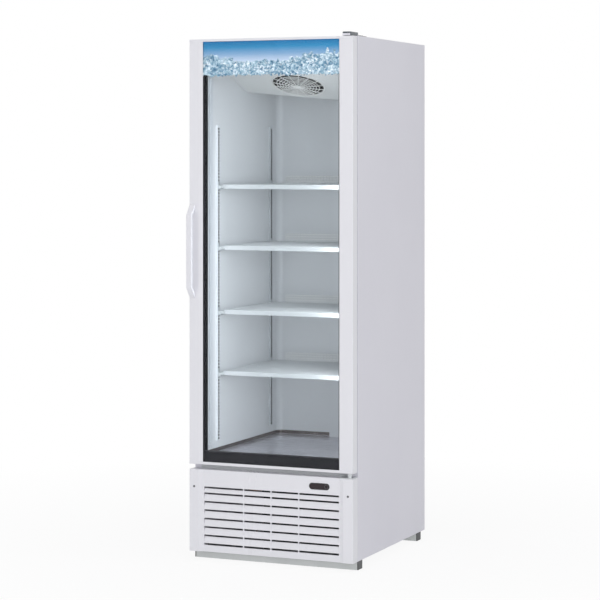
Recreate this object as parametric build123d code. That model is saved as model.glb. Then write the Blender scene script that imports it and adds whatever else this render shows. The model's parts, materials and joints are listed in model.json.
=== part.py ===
from build123d import *

import os
from math import cos, radians, sin, tan

# Upright glass door merchandiser refrigerator, in millimetres.
# The origin is on the floor under the middle of the whole box; the door faces -Y and +Z is up.

# Overall body
body_width = 686.0  # outside of the side panels, and the door's width
cabinet_height = 1991.0  # base tray to top panel
cabinet_depth = 742.0  # front face to back face
rail_height = 33.0  # base rails on the floor
door_thickness = 42.0
seal_gap = 10.0  # door back to cabinet front
handle_reach = 34.0  # handle in front of the door
sheet = 1.0  # painted steel skins
flange = 28.0  # folded edges of the skins
skin_radius = 2.0

# Insulated walls
side_wall = 55.0
back_wall = 64.0
top_wall = 60.0
floor_wall = 60.8
liner_wall = 1.2
liner_radius = 25.0
breaker_thick = 3.0

# Front division between the machine compartment and the door
grille_height = 318.0
ledge_gap = 20.0  # grille top to door bottom
door_top_gap = 2.0  # cabinet top down to door top

# Door frame
stile_width = 57.0
stile_flat = 39.5
stile_radius = 3.0
stile_wall = 3.0
top_rail = 10.0
bottom_rail = 11.0
rail_flange = 45.0  # rear flanges that carry the seal
rail_groove = 5.0
glass_depth = 4.0  # door front to glass
glass_bite = 12.0  # glass held in the stiles
pane = 4.0
pane_gap = 20.0
spacer_sight = 1.0  # black spacer seen beside the stile
spacer_rear_sight = 10.4  # its wider strip next to the rear pane
spacer_rear_depth = 4.0
bottom_band = 41.3  # black band above the bottom rail
film_gap = 0.2  # spacer and printed film to the panes
header_height = 146.0
header_thick = 1.0
header_clear = 0.3

# Door seal
seal_width = 16.0
seal_inset = 22.0  # from the door's side and top edges
seal_bottom_inset = 12.0
seal_clear = 0.3

# Handle
handle_length = 368.0
handle_straight = 282.0
handle_width = 23.0
handle_thick = 12.0
handle_inset = 2.0  # from the door's left edge
handle_centre_z = 1199.0
handle_round = 3.0
handle_screw_from_end = 13.0

# Hinge
pivot_inset = 21.0  # from the door's right edge
pivot_depth = 20.0  # from the door front
pin_radius = 4.0
running_fit = 0.05
pin_reach = 18.0  # pin inside the bush
bush_height = 22.0
bush_fit = 0.15
hinge_plate = 4.0
hinge_width = 29.4
hinge_cap_inset = 13.0
hinge_cap_width = 34.0
hinge_cap_front = 7.0  # behind the door front
hinge_cap_length = 82.0
hinge_cap_height = 14.7
cap_wall = 2.0
cap_round = 6.0
cap_edge = 1.5
bracket_clear = 0.3  # cap to bracket, and bracket to door and grille
hinge_tail = 179.0  # end of the top plate behind the door front
bottom_plate = 3.5
bottom_plate_width = 54.0
hinge_leg = 50.0
collar_radius = 9.0
hinge_screw_start = 68.0  # first screw behind the cabinet front
hinge_screw_pitch = 22.0
hinge_screw_side = 9.0  # to the left of the pin
leg_sheet = 3.0
bracket_inset = 3.0  # lower bracket from the body's side and the door's front
leg_screw_drop = 14.0  # first screw below the grille top
bracket_screw_head = 3.0

# Shelves and their supports
pilaster_width = 19.0
pilaster_height = 8.5
pilaster_sheet = 1.2
pilaster_bottom = 449.0
pilaster_top = 1690.0
front_pilaster_depth = 84.0  # its middle behind the cabinet front
rear_pilaster_depth = 593.0
slot_pitch = 12.7
slot_width = 15.5
slot_height = 7.4
first_slot = 8.0  # above the pilaster's bottom end
shelf_slots = (20, 39, 59, 78)  # the slot that carries each shelf
shelf_above_slot = 8.0
shelf_front_depth = 117.0  # behind the cabinet front
shelf_depth = 523.0
shelf_net = 3.0
shelf_lip = 17.0
shelf_columns = 44
shelf_rows = 6
net_bar = 3.2
net_cross_bar = 6.0
guard_height = 30.0
guard_inset = 54.0  # from the inner side wall
guard_gaps = 36
runner_width = 8.0
runner_height = 11.0
runner_front_depth = 74.0
clip_plate = 2.0
clip_width = 15.0
clip_tab_clear = 1.0  # tab inside its slot
clip_hook = 2.0  # tab behind the slotted face
clip_reach = 20.0
clip_foot = 3.0
clip_up = 26.0
clip_down = 6.0
shelf_side_clear = 1.5

# Floor pan and the cover for the lines on the back wall
pan_sheet = 1.2
pan_lip = 15.0
pan_clear = 0.5
line_cover_width = 92.0
line_cover_depth = 20.0
line_cover_wall = 1.5
drain_radius = 7.0
drain_bore = 5.0
suction_radius = 4.5
suction_side = 24.0
hole_clear = 0.5

# Evaporator housing under the ceiling
fan_side = 31.0  # fan to the left of the middle
fan_depth = 297.0  # fan hub behind the cabinet front
fan_height = 1852.0
fan_tilt = 21.5
housing_sheet = 1.5
housing_front_depth = 98.0
housing_clear = 0.5
drip_corner_z = 1825.0  # drip face at the back left corner
drip_fall_right = 0.0876
drip_fall_back = 0.0095
fan_opening = 103.0
guard_radius = 108.0
guard_inner_radius = 85.0  # the ring before the wide outer gap
guard_thick = 3.0
guard_rings = 5  # between the hub and that ring
guard_spokes = 16
guard_wire = 2.4
guard_hub = 20.0
guard_lap = 2.0  # outer ring outside the opening
evap_blade_radius = 86.0
evap_motor_radius = 30.0
evap_motor_length = 42.0
blade_hub_radius = 17.0
blade_hub_height = 22.0
shaft_radius = 3.0
shaft_length = 16.0
blade_clear = 10.0
coil_width = 430.0
coil_depth = 140.0
coil_height = 96.0
coil_back_clear = 66.0
coil_pitch = 12.0
fin_thick = 1.2
coil_tube_radius = 4.8
coil_rows = 2
coil_columns = 4

# Interior lamps
lamp_width = 26.0
lamp_height = 9.0
lamp_depth = 23.0  # its middle behind the cabinet front
lamp_bottom = 440.0
lamp_top = 1925.0

# Grille at the bottom front
panel_wall = 2.0
panel_back_gap = 3.5
grille_recess = 8.0
grille_sheet = 3.0
slot_tops = 285.3  # top edge of the highest slot above the floor
slot_open = 7.5
first_pitch = 23.0
louvre_pitch = 32.7
louvre_rows = 8
louvre_inset = 60.6  # slots' ends from the body's side
louvre_set_back = 5.0
louvre_sheet = 2.5
rib_width = 4.5
rib_spacing = 115.5
screw_inset = 20.8  # from the body's side
screw_z = 285.0
screw_radius = 2.0
screw_head_radius = 4.5
screw_head = 1.6
boss_radius = 6.0
lens_length = 83.6
lens_height = 25.0
lens_from_right = 141.0
lens_z = 315.0
lens_proud = 1.0
lens_fit = 0.3

# Rails and tray
rail_depth = 45.0
rail_sheet = 2.0
rail_cap = 4.0
rear_rail_depth = 672.0  # behind the cabinet front, to the rail's middle
tray_sheet = 1.5
tray_lip = 20.0

# Machine compartment
compressor_radius = 78.0
compressor_height = 150.0
compressor_round = 34.0
compressor_side = 140.0
compressor_depth = 548.0
grommet_height = 12.0
grommet_radius = 12.0
foot_plate = 3.0
foot_length = 200.0
foot_depth = 150.0
terminal_half = 30.0
terminal_proud = 22.0
terminal_low = 60.0
terminal_height = 50.0
condenser_width = 310.0
condenser_depth = 50.0
condenser_height = 230.0
condenser_side = 95.0
condenser_front_depth = 26.0
condenser_lift = 26.0
shroud_depth = 36.0
shroud_sheet = 1.5
shroud_opening = 100.0
shroud_lip = 5.0
cond_blade_radius = 92.0
cond_motor_radius = 34.0
cond_motor_length = 48.0
drier_radius = 12.0
drier_length = 110.0
drier_side = 40.0  # to the right of the compressor
drier_front = 30.0  # in front of the compressor
drier_height = 90.0  # above its base
line_radius = 4.0
tray_pan_width = 200.0
tray_pan_depth = 150.0
tray_pan_height = 40.0
tray_pan_wall = 2.0
tray_pan_left = -30.0  # its left side from the middle
tray_pan_behind = 40.0  # behind the drain
box_width = 62.0
box_depth = 150.0
box_height = 130.0
box_wall = 1.5
box_gap = 30.0  # behind the shroud
gland_radius = 9.0
gland_bore = 4.5
gland_length = 14.0
gland_flange = 13.0
gland_side = 250.0
gland_z = 80.0
vent_rows = 10
vent_columns = 5
vent_length = 86.0
vent_height = 6.0
vent_pitch = 22.0
vent_bridge = 26.0
vent_start = 26.0  # lowest slots above the gland

# Places that follow from the sizes above
half_width = body_width / 2
overall_depth = handle_reach + door_thickness + seal_gap + cabinet_depth
door_front_y = handle_reach - overall_depth / 2
door_back_y = door_front_y + door_thickness
front_y = door_back_y + seal_gap
back_y = front_y + cabinet_depth
bottom_z = rail_height
top_z = bottom_z + cabinet_height
grille_top_z = bottom_z + grille_height
door_bottom_z = grille_top_z + ledge_gap
door_top_z = top_z - door_top_gap
liner_half = half_width - side_wall
liner_back_y = back_y - back_wall
deck_z = grille_top_z - 8.0
foam_bottom_z = deck_z + sheet
liner_floor_z = deck_z + floor_wall
liner_top_z = top_z - top_wall
floor_z = liner_floor_z + pan_sheet
inside_x = half_width - sheet
inside_back_y = back_y - 2 * sheet
glass_front_y = door_front_y + glass_depth
glass_back_y = glass_front_y + 2 * pane + pane_gap
opening_half = half_width - stile_width
glass_half = opening_half + glass_bite
glass_bottom_z = door_bottom_z + bottom_rail - rail_groove
glass_top_z = door_top_z - top_rail + rail_groove
pivot_x = half_width - pivot_inset
pivot_y = door_front_y + pivot_depth
pilaster_face_x = liner_half - pilaster_height
drain_y = liner_back_y - line_cover_depth / 2
tray_top_z = bottom_z + tray_sheet
fan_x = -fan_side
fan_y = front_y + fan_depth
condenser_front_y = front_y + condenser_front_depth
condenser_back_y = condenser_front_y + condenser_depth
condenser_bottom_z = tray_top_z + condenser_lift
condenser_centre_z = condenser_bottom_z + condenser_height / 2
shroud_back_y = condenser_back_y + shroud_depth
compressor_x = -compressor_side
compressor_y = front_y + compressor_depth
compressor_base_z = tray_top_z + grommet_height


def block(x0, x1, y0, y1, z0, z1):
    """A box between two corners."""
    middle = Pos((x0 + x1) / 2, (y0 + y1) / 2, (z0 + z1) / 2)
    return middle * Box(abs(x1 - x0), abs(y1 - y0), abs(z1 - z0))


def rod(x, y, z0, z1, radius):
    """An upright round bar."""
    return Pos(x, y, (z0 + z1) / 2) * Cylinder(radius, z1 - z0)


def rod_y(x, y0, y1, z, radius):
    """A round bar that lies front to back."""
    return Pos(x, (y0 + y1) / 2, z) * Rot(90, 0, 0) * Cylinder(radius, y1 - y0)


def ring_plate(half, z0, z1, inner_half, inner_z0, inner_z1, y0, y1):
    """An upright rectangular ring that faces the front."""
    outer = block(-half, half, y0, y1, z0, z1)
    return outer - block(-inner_half, inner_half, y0 - 1, y1 + 1, inner_z0, inner_z1)


def mirrored(shape):
    """The same piece on the other side of the body."""
    return mirror(shape, about=Plane.YZ)


def cavity_outline(clearance, front):
    """Plan of the inner space, with round rear corners."""
    depth = liner_back_y - clearance - front
    plan = Pos(0, front + depth / 2) * Rectangle(2 * (liner_half - clearance), depth)
    return fillet(plan.vertices().sort_by(Axis.Y)[-2:], liner_radius - clearance)


def tube_run(points, radii, radius):
    """A bent solid line of straight runs joined by arcs."""
    path = FilletPolyline(*points, radius=radii)
    start = Plane(origin=path @ 0, z_dir=path % 0)
    line = sweep(start * Circle(radius), path=path)
    section = 3.14159265 * radius * radius
    print("line radii", radii, "volume ratio", round(line.volume / (section * path.length), 4))
    return line


# Outer skins

def side_panel():
    """Right side skin with folded front and rear edges."""
    outer = RectangleRounded(2 * flange, cabinet_depth, skin_radius)
    inner = Rectangle(2 * flange - 2 * sheet, cabinet_depth - 2 * sheet)
    other_half = Pos(-flange, 0) * Rectangle(2 * flange, cabinet_depth + 2)
    plan = outer - inner - other_half
    skin = Pos(half_width - flange, (front_y + back_y) / 2, bottom_z) * extrude(
        plan, cabinet_height
    )
    pilot = rod_y(
        half_width - screw_inset, front_y - 1, front_y + sheet + 1, screw_z,
        screw_radius + hole_clear / 2,
    )
    return skin - pilot


def top_panel():
    """Top skin, a shallow tray turned down between the side skins."""
    lid = block(-inside_x, inside_x, front_y + sheet, back_y - sheet, top_z - sheet, top_z)
    lip_half = half_width - flange
    front = block(-lip_half, lip_half, front_y, front_y + sheet, top_z - flange, top_z)
    rear = block(-lip_half, lip_half, back_y - sheet, back_y, top_z - flange, top_z)
    return lid + front + rear


def back_panel():
    """Rear skin behind the insulated part."""
    return block(-inside_x, inside_x, inside_back_y, back_y - sheet, deck_z, top_z - sheet)


def compartment_deck():
    """Sheet between the insulation and the machine compartment."""
    deck = block(-inside_x, inside_x, front_y + sheet, inside_back_y, deck_z, foam_bottom_z)
    return deck - line_holes(deck_z - 1, foam_bottom_z + 1)


def line_holes(z0, z1):
    """Holes for the drain tube and the suction line."""
    drain = rod(0, drain_y, z0, z1, drain_radius + hole_clear)
    suction = rod(suction_side, drain_y, z0, z1, suction_radius + hole_clear)
    return drain + suction


def base_tray():
    """Bottom tray that carries the machine parts."""
    outer = block(
        -inside_x, inside_x, front_y + sheet, inside_back_y, bottom_z, bottom_z + tray_lip
    )
    inner = block(
        tray_sheet - inside_x, inside_x - tray_sheet, front_y, inside_back_y - tray_sheet,
        tray_top_z, bottom_z + tray_lip + 1,
    )
    return outer - inner


def base_rail(middle_depth):
    """Bent steel rail across the base, open below."""
    y0 = front_y + middle_depth - rail_depth / 2
    half = half_width - rail_cap
    outer = block(-half, half, y0, y0 + rail_depth, 0, rail_height)
    inner = block(
        -half - 1, half + 1, y0 + rail_sheet, y0 + rail_depth - rail_sheet,
        -1, rail_height - rail_sheet,
    )
    return outer - inner


def rail_end_caps():
    """Dark end caps of both rails."""
    caps = []
    for middle_depth in (rail_depth / 2, rear_rail_depth):
        y0 = front_y + middle_depth - rail_depth / 2
        cap = block(half_width - rail_cap, half_width, y0, y0 + rail_depth, 0, rail_height)
        caps += [cap, mirrored(cap)]
    return Compound(caps)


# Insulated cabinet

def liner_block(wall):
    """The inner space grown by a wall, from the breaker to the back."""
    start = front_y + breaker_thick
    plan = cavity_outline(-wall, start)
    height = liner_top_z - liner_floor_z + 2 * wall
    return Pos(0, 0, liner_floor_z - wall) * extrude(plan, height)


def inner_liner():
    """White inner box, open at the front."""
    hollow = Pos(0, 0, liner_floor_z) * extrude(
        cavity_outline(0, front_y), liner_top_z - liner_floor_z
    )
    liner = liner_block(liner_wall) - hollow
    return liner - line_holes(liner_floor_z - liner_wall - 1, liner_floor_z + 1)


def breaker_frame():
    """White plastic frame around the opening, where the seal lands."""
    half = half_width - flange
    return ring_plate(
        half, foam_bottom_z, top_z - flange, liner_half, liner_floor_z, liner_top_z,
        front_y, front_y + breaker_thick,
    )


def insulation_foam():
    """Foam boards between the skins and the liner, with fillers at the rear corners."""
    x0 = liner_half + liner_wall
    y0 = front_y + sheet
    y1 = liner_back_y + liner_wall
    z0 = liner_floor_z - liner_wall
    z1 = liner_top_z + liner_wall
    half = half_width - flange
    recess = block(-half, half, front_y, front_y + breaker_thick, foam_bottom_z, top_z - flange)
    low = block(-inside_x, inside_x, y0, inside_back_y, foam_bottom_z, z0) - recess
    low -= line_holes(foam_bottom_z - 1, liner_floor_z)
    high = block(-inside_x, inside_x, y0, inside_back_y, z1, top_z - sheet) - recess
    side = block(x0, inside_x, y0, inside_back_y, z0, z1) - recess
    back = block(-x0, x0, y1, inside_back_y, z0, z1)
    corner = block(liner_half - liner_radius, x0, y1 - liner_radius - liner_wall, y1, z0, z1)
    corner -= liner_block(liner_wall)
    return Compound([low, high, side, mirrored(side), back, corner, mirrored(corner)])


def floor_pan():
    """Stainless pan on the cabinet floor, a flat sheet with low lip strips all round."""
    start = front_y + breaker_thick + pan_clear
    base = extrude(cavity_outline(pan_clear, start), pan_sheet)
    pan = [Pos(0, 0, liner_floor_z) * base - line_holes(liner_floor_z - 1, floor_z + 1)]
    x1 = liner_half - pan_clear
    y1 = liner_back_y - pan_clear
    corner_x = liner_half - liner_radius
    corner_y = liner_back_y - liner_radius
    top = floor_z + pan_lip
    notch_half = line_cover_width / 2 + pan_clear
    pan.append(block(pan_sheet - x1, x1 - pan_sheet, start, start + pan_sheet, floor_z, top))
    side = block(x1 - pan_sheet, x1, start, corner_y, floor_z, top)
    back = block(notch_half, corner_x, y1 - pan_sheet, y1, floor_z, top)
    radius = liner_radius - pan_clear
    bend = rod(corner_x, corner_y, floor_z, top, radius)
    bend -= rod(corner_x, corner_y, floor_z - 1, top + 1, radius - pan_sheet)
    bend &= block(corner_x, x1 + 1, corner_y, y1 + 1, floor_z, top)
    for strip in (side, back, bend):
        pan += [strip, mirrored(strip)]
    return Compound(pan)


def rear_line_cover():
    """White channel on the back wall over the drain and the suction line."""
    half = line_cover_width / 2
    y0 = liner_back_y - line_cover_depth
    outer = block(-half, half, y0, liner_back_y, floor_z, drip_corner_z)
    inner = block(
        line_cover_wall - half, half - line_cover_wall, y0 + line_cover_wall,
        liner_back_y + 1, floor_z - 1, drip_corner_z + 1,
    )
    return outer - inner - Pos(0, 0, -pan_clear) * housing_space(0, 0)


def drain_tube():
    """Drain from the drip face down to the condensate pan."""
    top = drip_z(0, drain_y) + housing_sheet
    low = tray_top_z + tray_pan_height
    return rod(0, drain_y, low, top, drain_radius) - rod(
        0, drain_y, low - 1, top + 1, drain_bore
    )


# Evaporator housing and its fan

def drip_z(x, y):
    """Height of the sloping drip face."""
    return drip_corner_z - drip_fall_right * (x + liner_half) + drip_fall_back * (
        liner_back_y - y
    )


def fan_plane(lift):
    """Plane of the fan face, with its normal up into the housing."""
    tilt = radians(fan_tilt)
    up = Vector(0, sin(tilt), cos(tilt))
    return Plane(origin=Vector(fan_x, fan_y, fan_height) + up * lift, x_dir=(1, 0, 0), z_dir=up)


def housing_space(inset, lift):
    """Space of the housing above the fan face and the drip face."""
    start = front_y + housing_front_depth + inset
    plan = cavity_outline(housing_clear + inset, start)
    low = fan_height - 2 * fan_opening
    space = Pos(0, 0, low) * extrude(plan, liner_top_z - housing_clear - low)
    corner = Vector(-liner_half, liner_back_y, drip_corner_z)
    drip_normal = Vector(drip_fall_right, drip_fall_back, 1).normalized()
    drip = Plane(origin=corner + drip_normal * lift, z_dir=drip_normal)
    space = split(space, bisect_by=fan_plane(lift), keep=Keep.TOP)
    return split(space, bisect_by=drip, keep=Keep.TOP)


def evaporator_cover():
    """White housing with the inclined fan face and the drip face."""
    shell = housing_space(0, 0) - housing_space(housing_sheet, housing_sheet)
    lid = block(
        -liner_half, liner_half, front_y, liner_back_y,
        liner_top_z - housing_clear - 0.01, liner_top_z,
    )
    shell -= lid
    shell -= fan_plane(0) * Cylinder(fan_opening, 8 * housing_sheet)
    return shell - line_holes(drip_corner_z - 60, drip_corner_z + 10)


def evaporator_fan_guard():
    """Round guard of rings and spokes on the fan face."""
    step = (guard_inner_radius - guard_hub) / guard_rings
    rim = Circle(guard_radius) - Circle(fan_opening + guard_lap)
    plan = Circle(guard_hub) + rim
    for ring in range(1, guard_rings + 1):
        outer = guard_hub + ring * step
        plan += Circle(outer) - Circle(outer - guard_wire)
    length = guard_radius - guard_wire / 2
    for spoke in range(guard_spokes):
        reach = Pos(length / 2, 0) * Rectangle(length, guard_wire)
        plan += Rot(0, 0, spoke * 360 / guard_spokes) * reach
    return fan_plane(-guard_thick) * extrude(plan, guard_thick)


def fan_rotor(radius, hub_radius, hub_height, blades):
    """Fan wheel at the origin, turning about Z, with its shaft upwards."""
    wheel = Pos(0, 0, hub_height / 2) * Cylinder(hub_radius, hub_height)
    band = Cylinder(radius, 4 * hub_height) - Cylinder(hub_radius - 2, 4 * hub_height)
    vane_width = 0.78 * radius
    for number in range(blades):
        vane = Pos(radius / 2, 0, hub_height / 2) * Rot(28, 0, 0) * Box(radius, vane_width, 2.5)
        wheel += Rot(0, 0, number * 360 / blades) * (vane & wheel_slice(radius, blades)) & band
    wheel += Pos(0, 0, hub_height / 2) * Cylinder(hub_radius, hub_height)
    return wheel + Pos(0, 0, hub_height + shaft_length / 2) * Cylinder(
        shaft_radius, shaft_length
    )


def wheel_slice(radius, blades):
    """Wedge of the wheel that one vane may fill."""
    half_angle = 0.82 * 180 / blades
    side = radius * tan(radians(half_angle))
    wedge = make_face(Polyline((0, 0), (radius, -side), (radius, side), close=True))
    return Pos(0, 0, -2 * radius) * extrude(wedge, 4 * radius)


def fan_motor(radius, length, gap, arm_reach):
    """Motor above a fan wheel with three arms that stand on the fan's plate."""
    base = gap
    motor = Pos(0, 0, base + length / 2) * Cylinder(radius, length)
    arm_width = 12.0
    arm_thick = 3.0
    for arm in range(3):
        reach = block(radius - 3, arm_reach, -arm_width / 2, arm_width / 2,
                      base + 6, base + 6 + arm_thick)
        leg = block(arm_reach - arm_thick, arm_reach, -arm_width / 2, arm_width / 2,
                    0, base + 6 + arm_thick)
        foot = block(arm_reach - arm_thick, arm_reach + 8, -arm_width / 2, arm_width / 2,
                     0, arm_thick)
        motor += Rot(0, 0, 30 + arm * 120) * (reach + leg + foot)
    bore_depth = shaft_length + 1
    return motor - Pos(0, 0, base + bore_depth / 2) * Cylinder(
        shaft_radius + running_fit, bore_depth
    )


def evaporator_fan_blade():
    wheel = fan_rotor(evap_blade_radius, blade_hub_radius, blade_hub_height, 5)
    return fan_plane(housing_sheet + blade_clear) * wheel


def evaporator_fan_motor():
    gap = blade_clear + blade_hub_height + 2
    motor = fan_motor(evap_motor_radius, evap_motor_length, gap, fan_opening + 6)
    return fan_plane(housing_sheet) * motor


def finned_coil(width, depth, height, rows, columns, pitch, end_drop):
    """Fin pack on tubes along X, with its corner at the origin and end plates."""
    count = int(width / pitch)
    coil = block(0, fin_thick, 0, depth, -end_drop[0], height + end_drop[1])
    coil += block(width - fin_thick, width, 0, depth, -end_drop[0], height + end_drop[1])
    for number in range(1, count):
        x = number * width / count
        coil += block(x - fin_thick / 2, x + fin_thick / 2, 0, depth, 0, height)
    bend = coil_tube_radius * 2.5
    for column in range(columns):
        for row in range(rows):
            y = depth * (column + 0.5) / columns
            z = height * (row + 0.5) / rows
            coil += Pos(width / 2, y, z) * Rot(0, 90, 0) * Cylinder(
                coil_tube_radius, width + 2 * bend
            )
    return coil


def evaporator_coil():
    back = liner_back_y - coil_back_clear
    lowest = drip_z(-coil_width / 2, back - coil_depth) + housing_sheet + 12
    rise = liner_top_z - lowest - coil_height
    coil = finned_coil(
        coil_width, coil_depth, coil_height, coil_rows, coil_columns, coil_pitch, (0, rise)
    )
    return Pos(-coil_width / 2, back - coil_depth, lowest) * coil


def led_lamps():
    """Pair of lamp bars on the side walls, just inside the door."""
    plan = Pos(liner_half - lamp_height / 2, front_y + lamp_depth) * Rectangle(
        lamp_height, lamp_width
    )
    inner_corners = plan.vertices().sort_by(Axis.X)[:2]
    plan = fillet(inner_corners, 0.8 * lamp_height)
    bar = Pos(0, 0, lamp_bottom) * extrude(plan, lamp_top - lamp_bottom)
    return Compound([bar, mirrored(bar)])


# Shelves

def pilaster(middle_depth):
    """Slotted channel on the right wall."""
    y0 = front_y + middle_depth - pilaster_width / 2
    y1 = y0 + pilaster_width
    channel = block(pilaster_face_x, liner_half, y0, y1, pilaster_bottom, pilaster_top)
    channel -= block(
        pilaster_face_x + pilaster_sheet, liner_half + 1, y0 + pilaster_sheet,
        y1 - pilaster_sheet, pilaster_bottom - 1, pilaster_top + 1,
    )
    count = int((pilaster_top - pilaster_bottom - 2 * first_slot) / slot_pitch) + 1
    slots = []
    for number in range(count):
        z = slot_z(number)
        slots.append(block(
            pilaster_face_x - 1, pilaster_face_x + pilaster_sheet + 1,
            (y0 + y1 - slot_width) / 2, (y0 + y1 + slot_width) / 2,
            z - slot_height / 2, z + slot_height / 2,
        ))
    return channel - slots


def slot_z(number):
    """Middle of a pilaster slot."""
    return pilaster_bottom + first_slot + number * slot_pitch


def pilasters():
    front = pilaster(front_pilaster_depth)
    rear = pilaster(rear_pilaster_depth)
    return Compound([front, rear, mirrored(front), mirrored(rear)])


def shelf_top_z(number):
    """Top of a shelf, counted from the lowest."""
    return slot_z(shelf_slots[number]) + shelf_above_slot


def shelf_clip(middle_depth, number):
    """Hooked clip in a pilaster slot, with a foot under the shelf's runner."""
    y = front_y + middle_depth
    foot_top = shelf_top_z(number) - shelf_net - runner_height
    x1 = pilaster_face_x
    plate = block(
        x1 - clip_plate, x1, y - clip_width / 2, y + clip_width / 2,
        foot_top - clip_down, foot_top + clip_up,
    )
    foot = block(
        x1 - clip_reach, x1, y - clip_width / 2, y + clip_width / 2,
        foot_top - clip_foot, foot_top,
    )
    z = slot_z(shelf_slots[number])
    tab = block(
        x1, x1 + pilaster_sheet + clip_hook, y - slot_width / 2 + clip_tab_clear,
        y + slot_width / 2 - clip_tab_clear, z - slot_height / 2 + clip_tab_clear / 2,
        z + slot_height / 2 - clip_tab_clear / 2,
    )
    return plate + foot + tab


def shelf_clips():
    clips = []
    for number in range(len(shelf_slots)):
        for depth in (front_pilaster_depth, rear_pilaster_depth):
            clip = shelf_clip(depth, number)
            clips += [clip, mirrored(clip)]
    return Compound(clips)


def shelf():
    """Wire net shelf with its top at zero height."""
    half = pilaster_face_x - clip_plate - shelf_side_clear
    y0 = front_y + shelf_front_depth
    y1 = y0 + shelf_depth
    net = block(-half, half, y0, y1, -shelf_net, 0)
    pitch_x = (2 * half - 2 * runner_width + net_bar) / shelf_columns
    pitch_y = (shelf_depth - net_cross_bar) / shelf_rows
    gaps = []
    for column in range(shelf_columns):
        x = runner_width - half + column * pitch_x
        for row in range(shelf_rows):
            y = y0 + net_cross_bar + row * pitch_y
            gaps.append(block(x, x + pitch_x - net_bar, y, y + pitch_y - net_cross_bar,
                              -shelf_net - 1, 1))
    net -= gaps
    guard_half = liner_half - guard_inset
    guard = block(-guard_half, guard_half, y1 - shelf_net, y1, 0, guard_height)
    pitch = (2 * guard_half - net_bar) / guard_gaps
    windows = []
    for gap in range(guard_gaps):
        x = net_bar - guard_half + gap * pitch
        windows.append(block(x, x + pitch - net_bar, y1 - shelf_net - 1, y1 + 1,
                             net_bar, guard_height - net_bar))
    guard -= windows
    runner = block(
        half - runner_width, half, front_y + runner_front_depth, y1,
        -shelf_net - runner_height, -shelf_net,
    )
    runner += block(
        half - runner_width, half, front_y + runner_front_depth, y0, -shelf_net, -shelf_net / 2
    )
    lip = block(-half, half, y0, y0 + shelf_net, -shelf_lip, 0)
    bars = block(-half, half, y0 + 2 * pitch_y, y0 + 2 * pitch_y + net_cross_bar,
                 -2 * shelf_net, -shelf_net)
    bars += block(-half, half, y0 + 4 * pitch_y, y0 + 4 * pitch_y + net_cross_bar,
                  -2 * shelf_net, -shelf_net)
    return net + guard + runner + mirrored(runner) + lip + bars


# Machine compartment

def compressor():
    """Hermetic compressor with its foot plate and terminal cover."""
    x, y, z = compressor_x, compressor_y, compressor_base_z
    shell = Pos(x, y, z + foot_plate + compressor_height / 2) * Cylinder(
        compressor_radius, compressor_height
    )
    shell = fillet(shell.edges().filter_by(GeomType.CIRCLE), compressor_round)
    plate = block(x - foot_length / 2, x + foot_length / 2, y - foot_depth / 2,
                  y + foot_depth / 2, z, z + foot_plate + 2)
    terminal = block(
        x - terminal_half, x + terminal_half, y - compressor_radius - terminal_proud,
        y - compressor_radius + compressor_round / 2, z + terminal_low,
        z + terminal_low + terminal_height,
    )
    return shell + plate + terminal


def compressor_grommets():
    """Rubber feet under the corners of the compressor's plate."""
    feet = []
    for side in (-1, 1):
        for end in (-1, 1):
            x = compressor_x + side * (foot_length / 2 - grommet_radius)
            y = compressor_y + end * (foot_depth / 2 - grommet_radius)
            feet.append(rod(x, y, tray_top_z, compressor_base_z, grommet_radius))
    return Compound(feet)


def condenser_coil():
    """Condenser behind the grille, on its two end plates."""
    coil = finned_coil(
        condenser_width, condenser_depth, condenser_height, 5, 2, coil_pitch,
        (condenser_lift, 0),
    )
    return Pos(condenser_side - condenser_width / 2, condenser_front_y,
               condenser_bottom_z) * coil


def condenser_shroud():
    """Sheet box behind the condenser with the fan's round opening."""
    x0 = condenser_side - condenser_width / 2 - shroud_lip - coil_tube_radius * 2.5
    x1 = condenser_side + condenser_width / 2 + shroud_lip + coil_tube_radius * 2.5
    top = condenser_bottom_z + condenser_height + shroud_lip
    outer = block(x0, x1, condenser_back_y + 1, shroud_back_y, tray_top_z, top)
    inner = block(
        x0 + shroud_sheet, x1 - shroud_sheet, condenser_back_y, shroud_back_y - shroud_sheet,
        tray_top_z + shroud_sheet, top - shroud_sheet,
    )
    hole = rod_y(condenser_side, shroud_back_y - 9, shroud_back_y + 9, condenser_centre_z,
                 shroud_opening)
    return outer - inner - hole


def condenser_fan_plane(lift):
    """Plane of the condenser fan, with its normal to the back."""
    origin = (condenser_side, shroud_back_y + lift, condenser_centre_z)
    return Plane(origin=origin, x_dir=(1, 0, 0), z_dir=(0, 1, 0))


def condenser_fan_blade():
    wheel = fan_rotor(cond_blade_radius, blade_hub_radius, blade_hub_height, 4)
    return condenser_fan_plane(-blade_hub_height / 2) * wheel


def condenser_fan_motor():
    gap = blade_hub_height / 2 + 6
    motor = fan_motor(cond_motor_radius, cond_motor_length, gap, shroud_opening + 6)
    return condenser_fan_plane(0) * motor


def filter_drier():
    """Copper filter drier in the liquid line."""
    x, y, z = drier_place()
    body = Pos(x, y, z) * Rot(90, 0, 0) * Cylinder(drier_radius, drier_length)
    return chamfer(body.edges().filter_by(GeomType.CIRCLE), drier_radius * 0.55)


def drier_place():
    return (
        compressor_x + compressor_radius + drier_side,
        compressor_y - compressor_radius - drier_length / 2 - drier_front,
        compressor_base_z + drier_height,
    )


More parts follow.
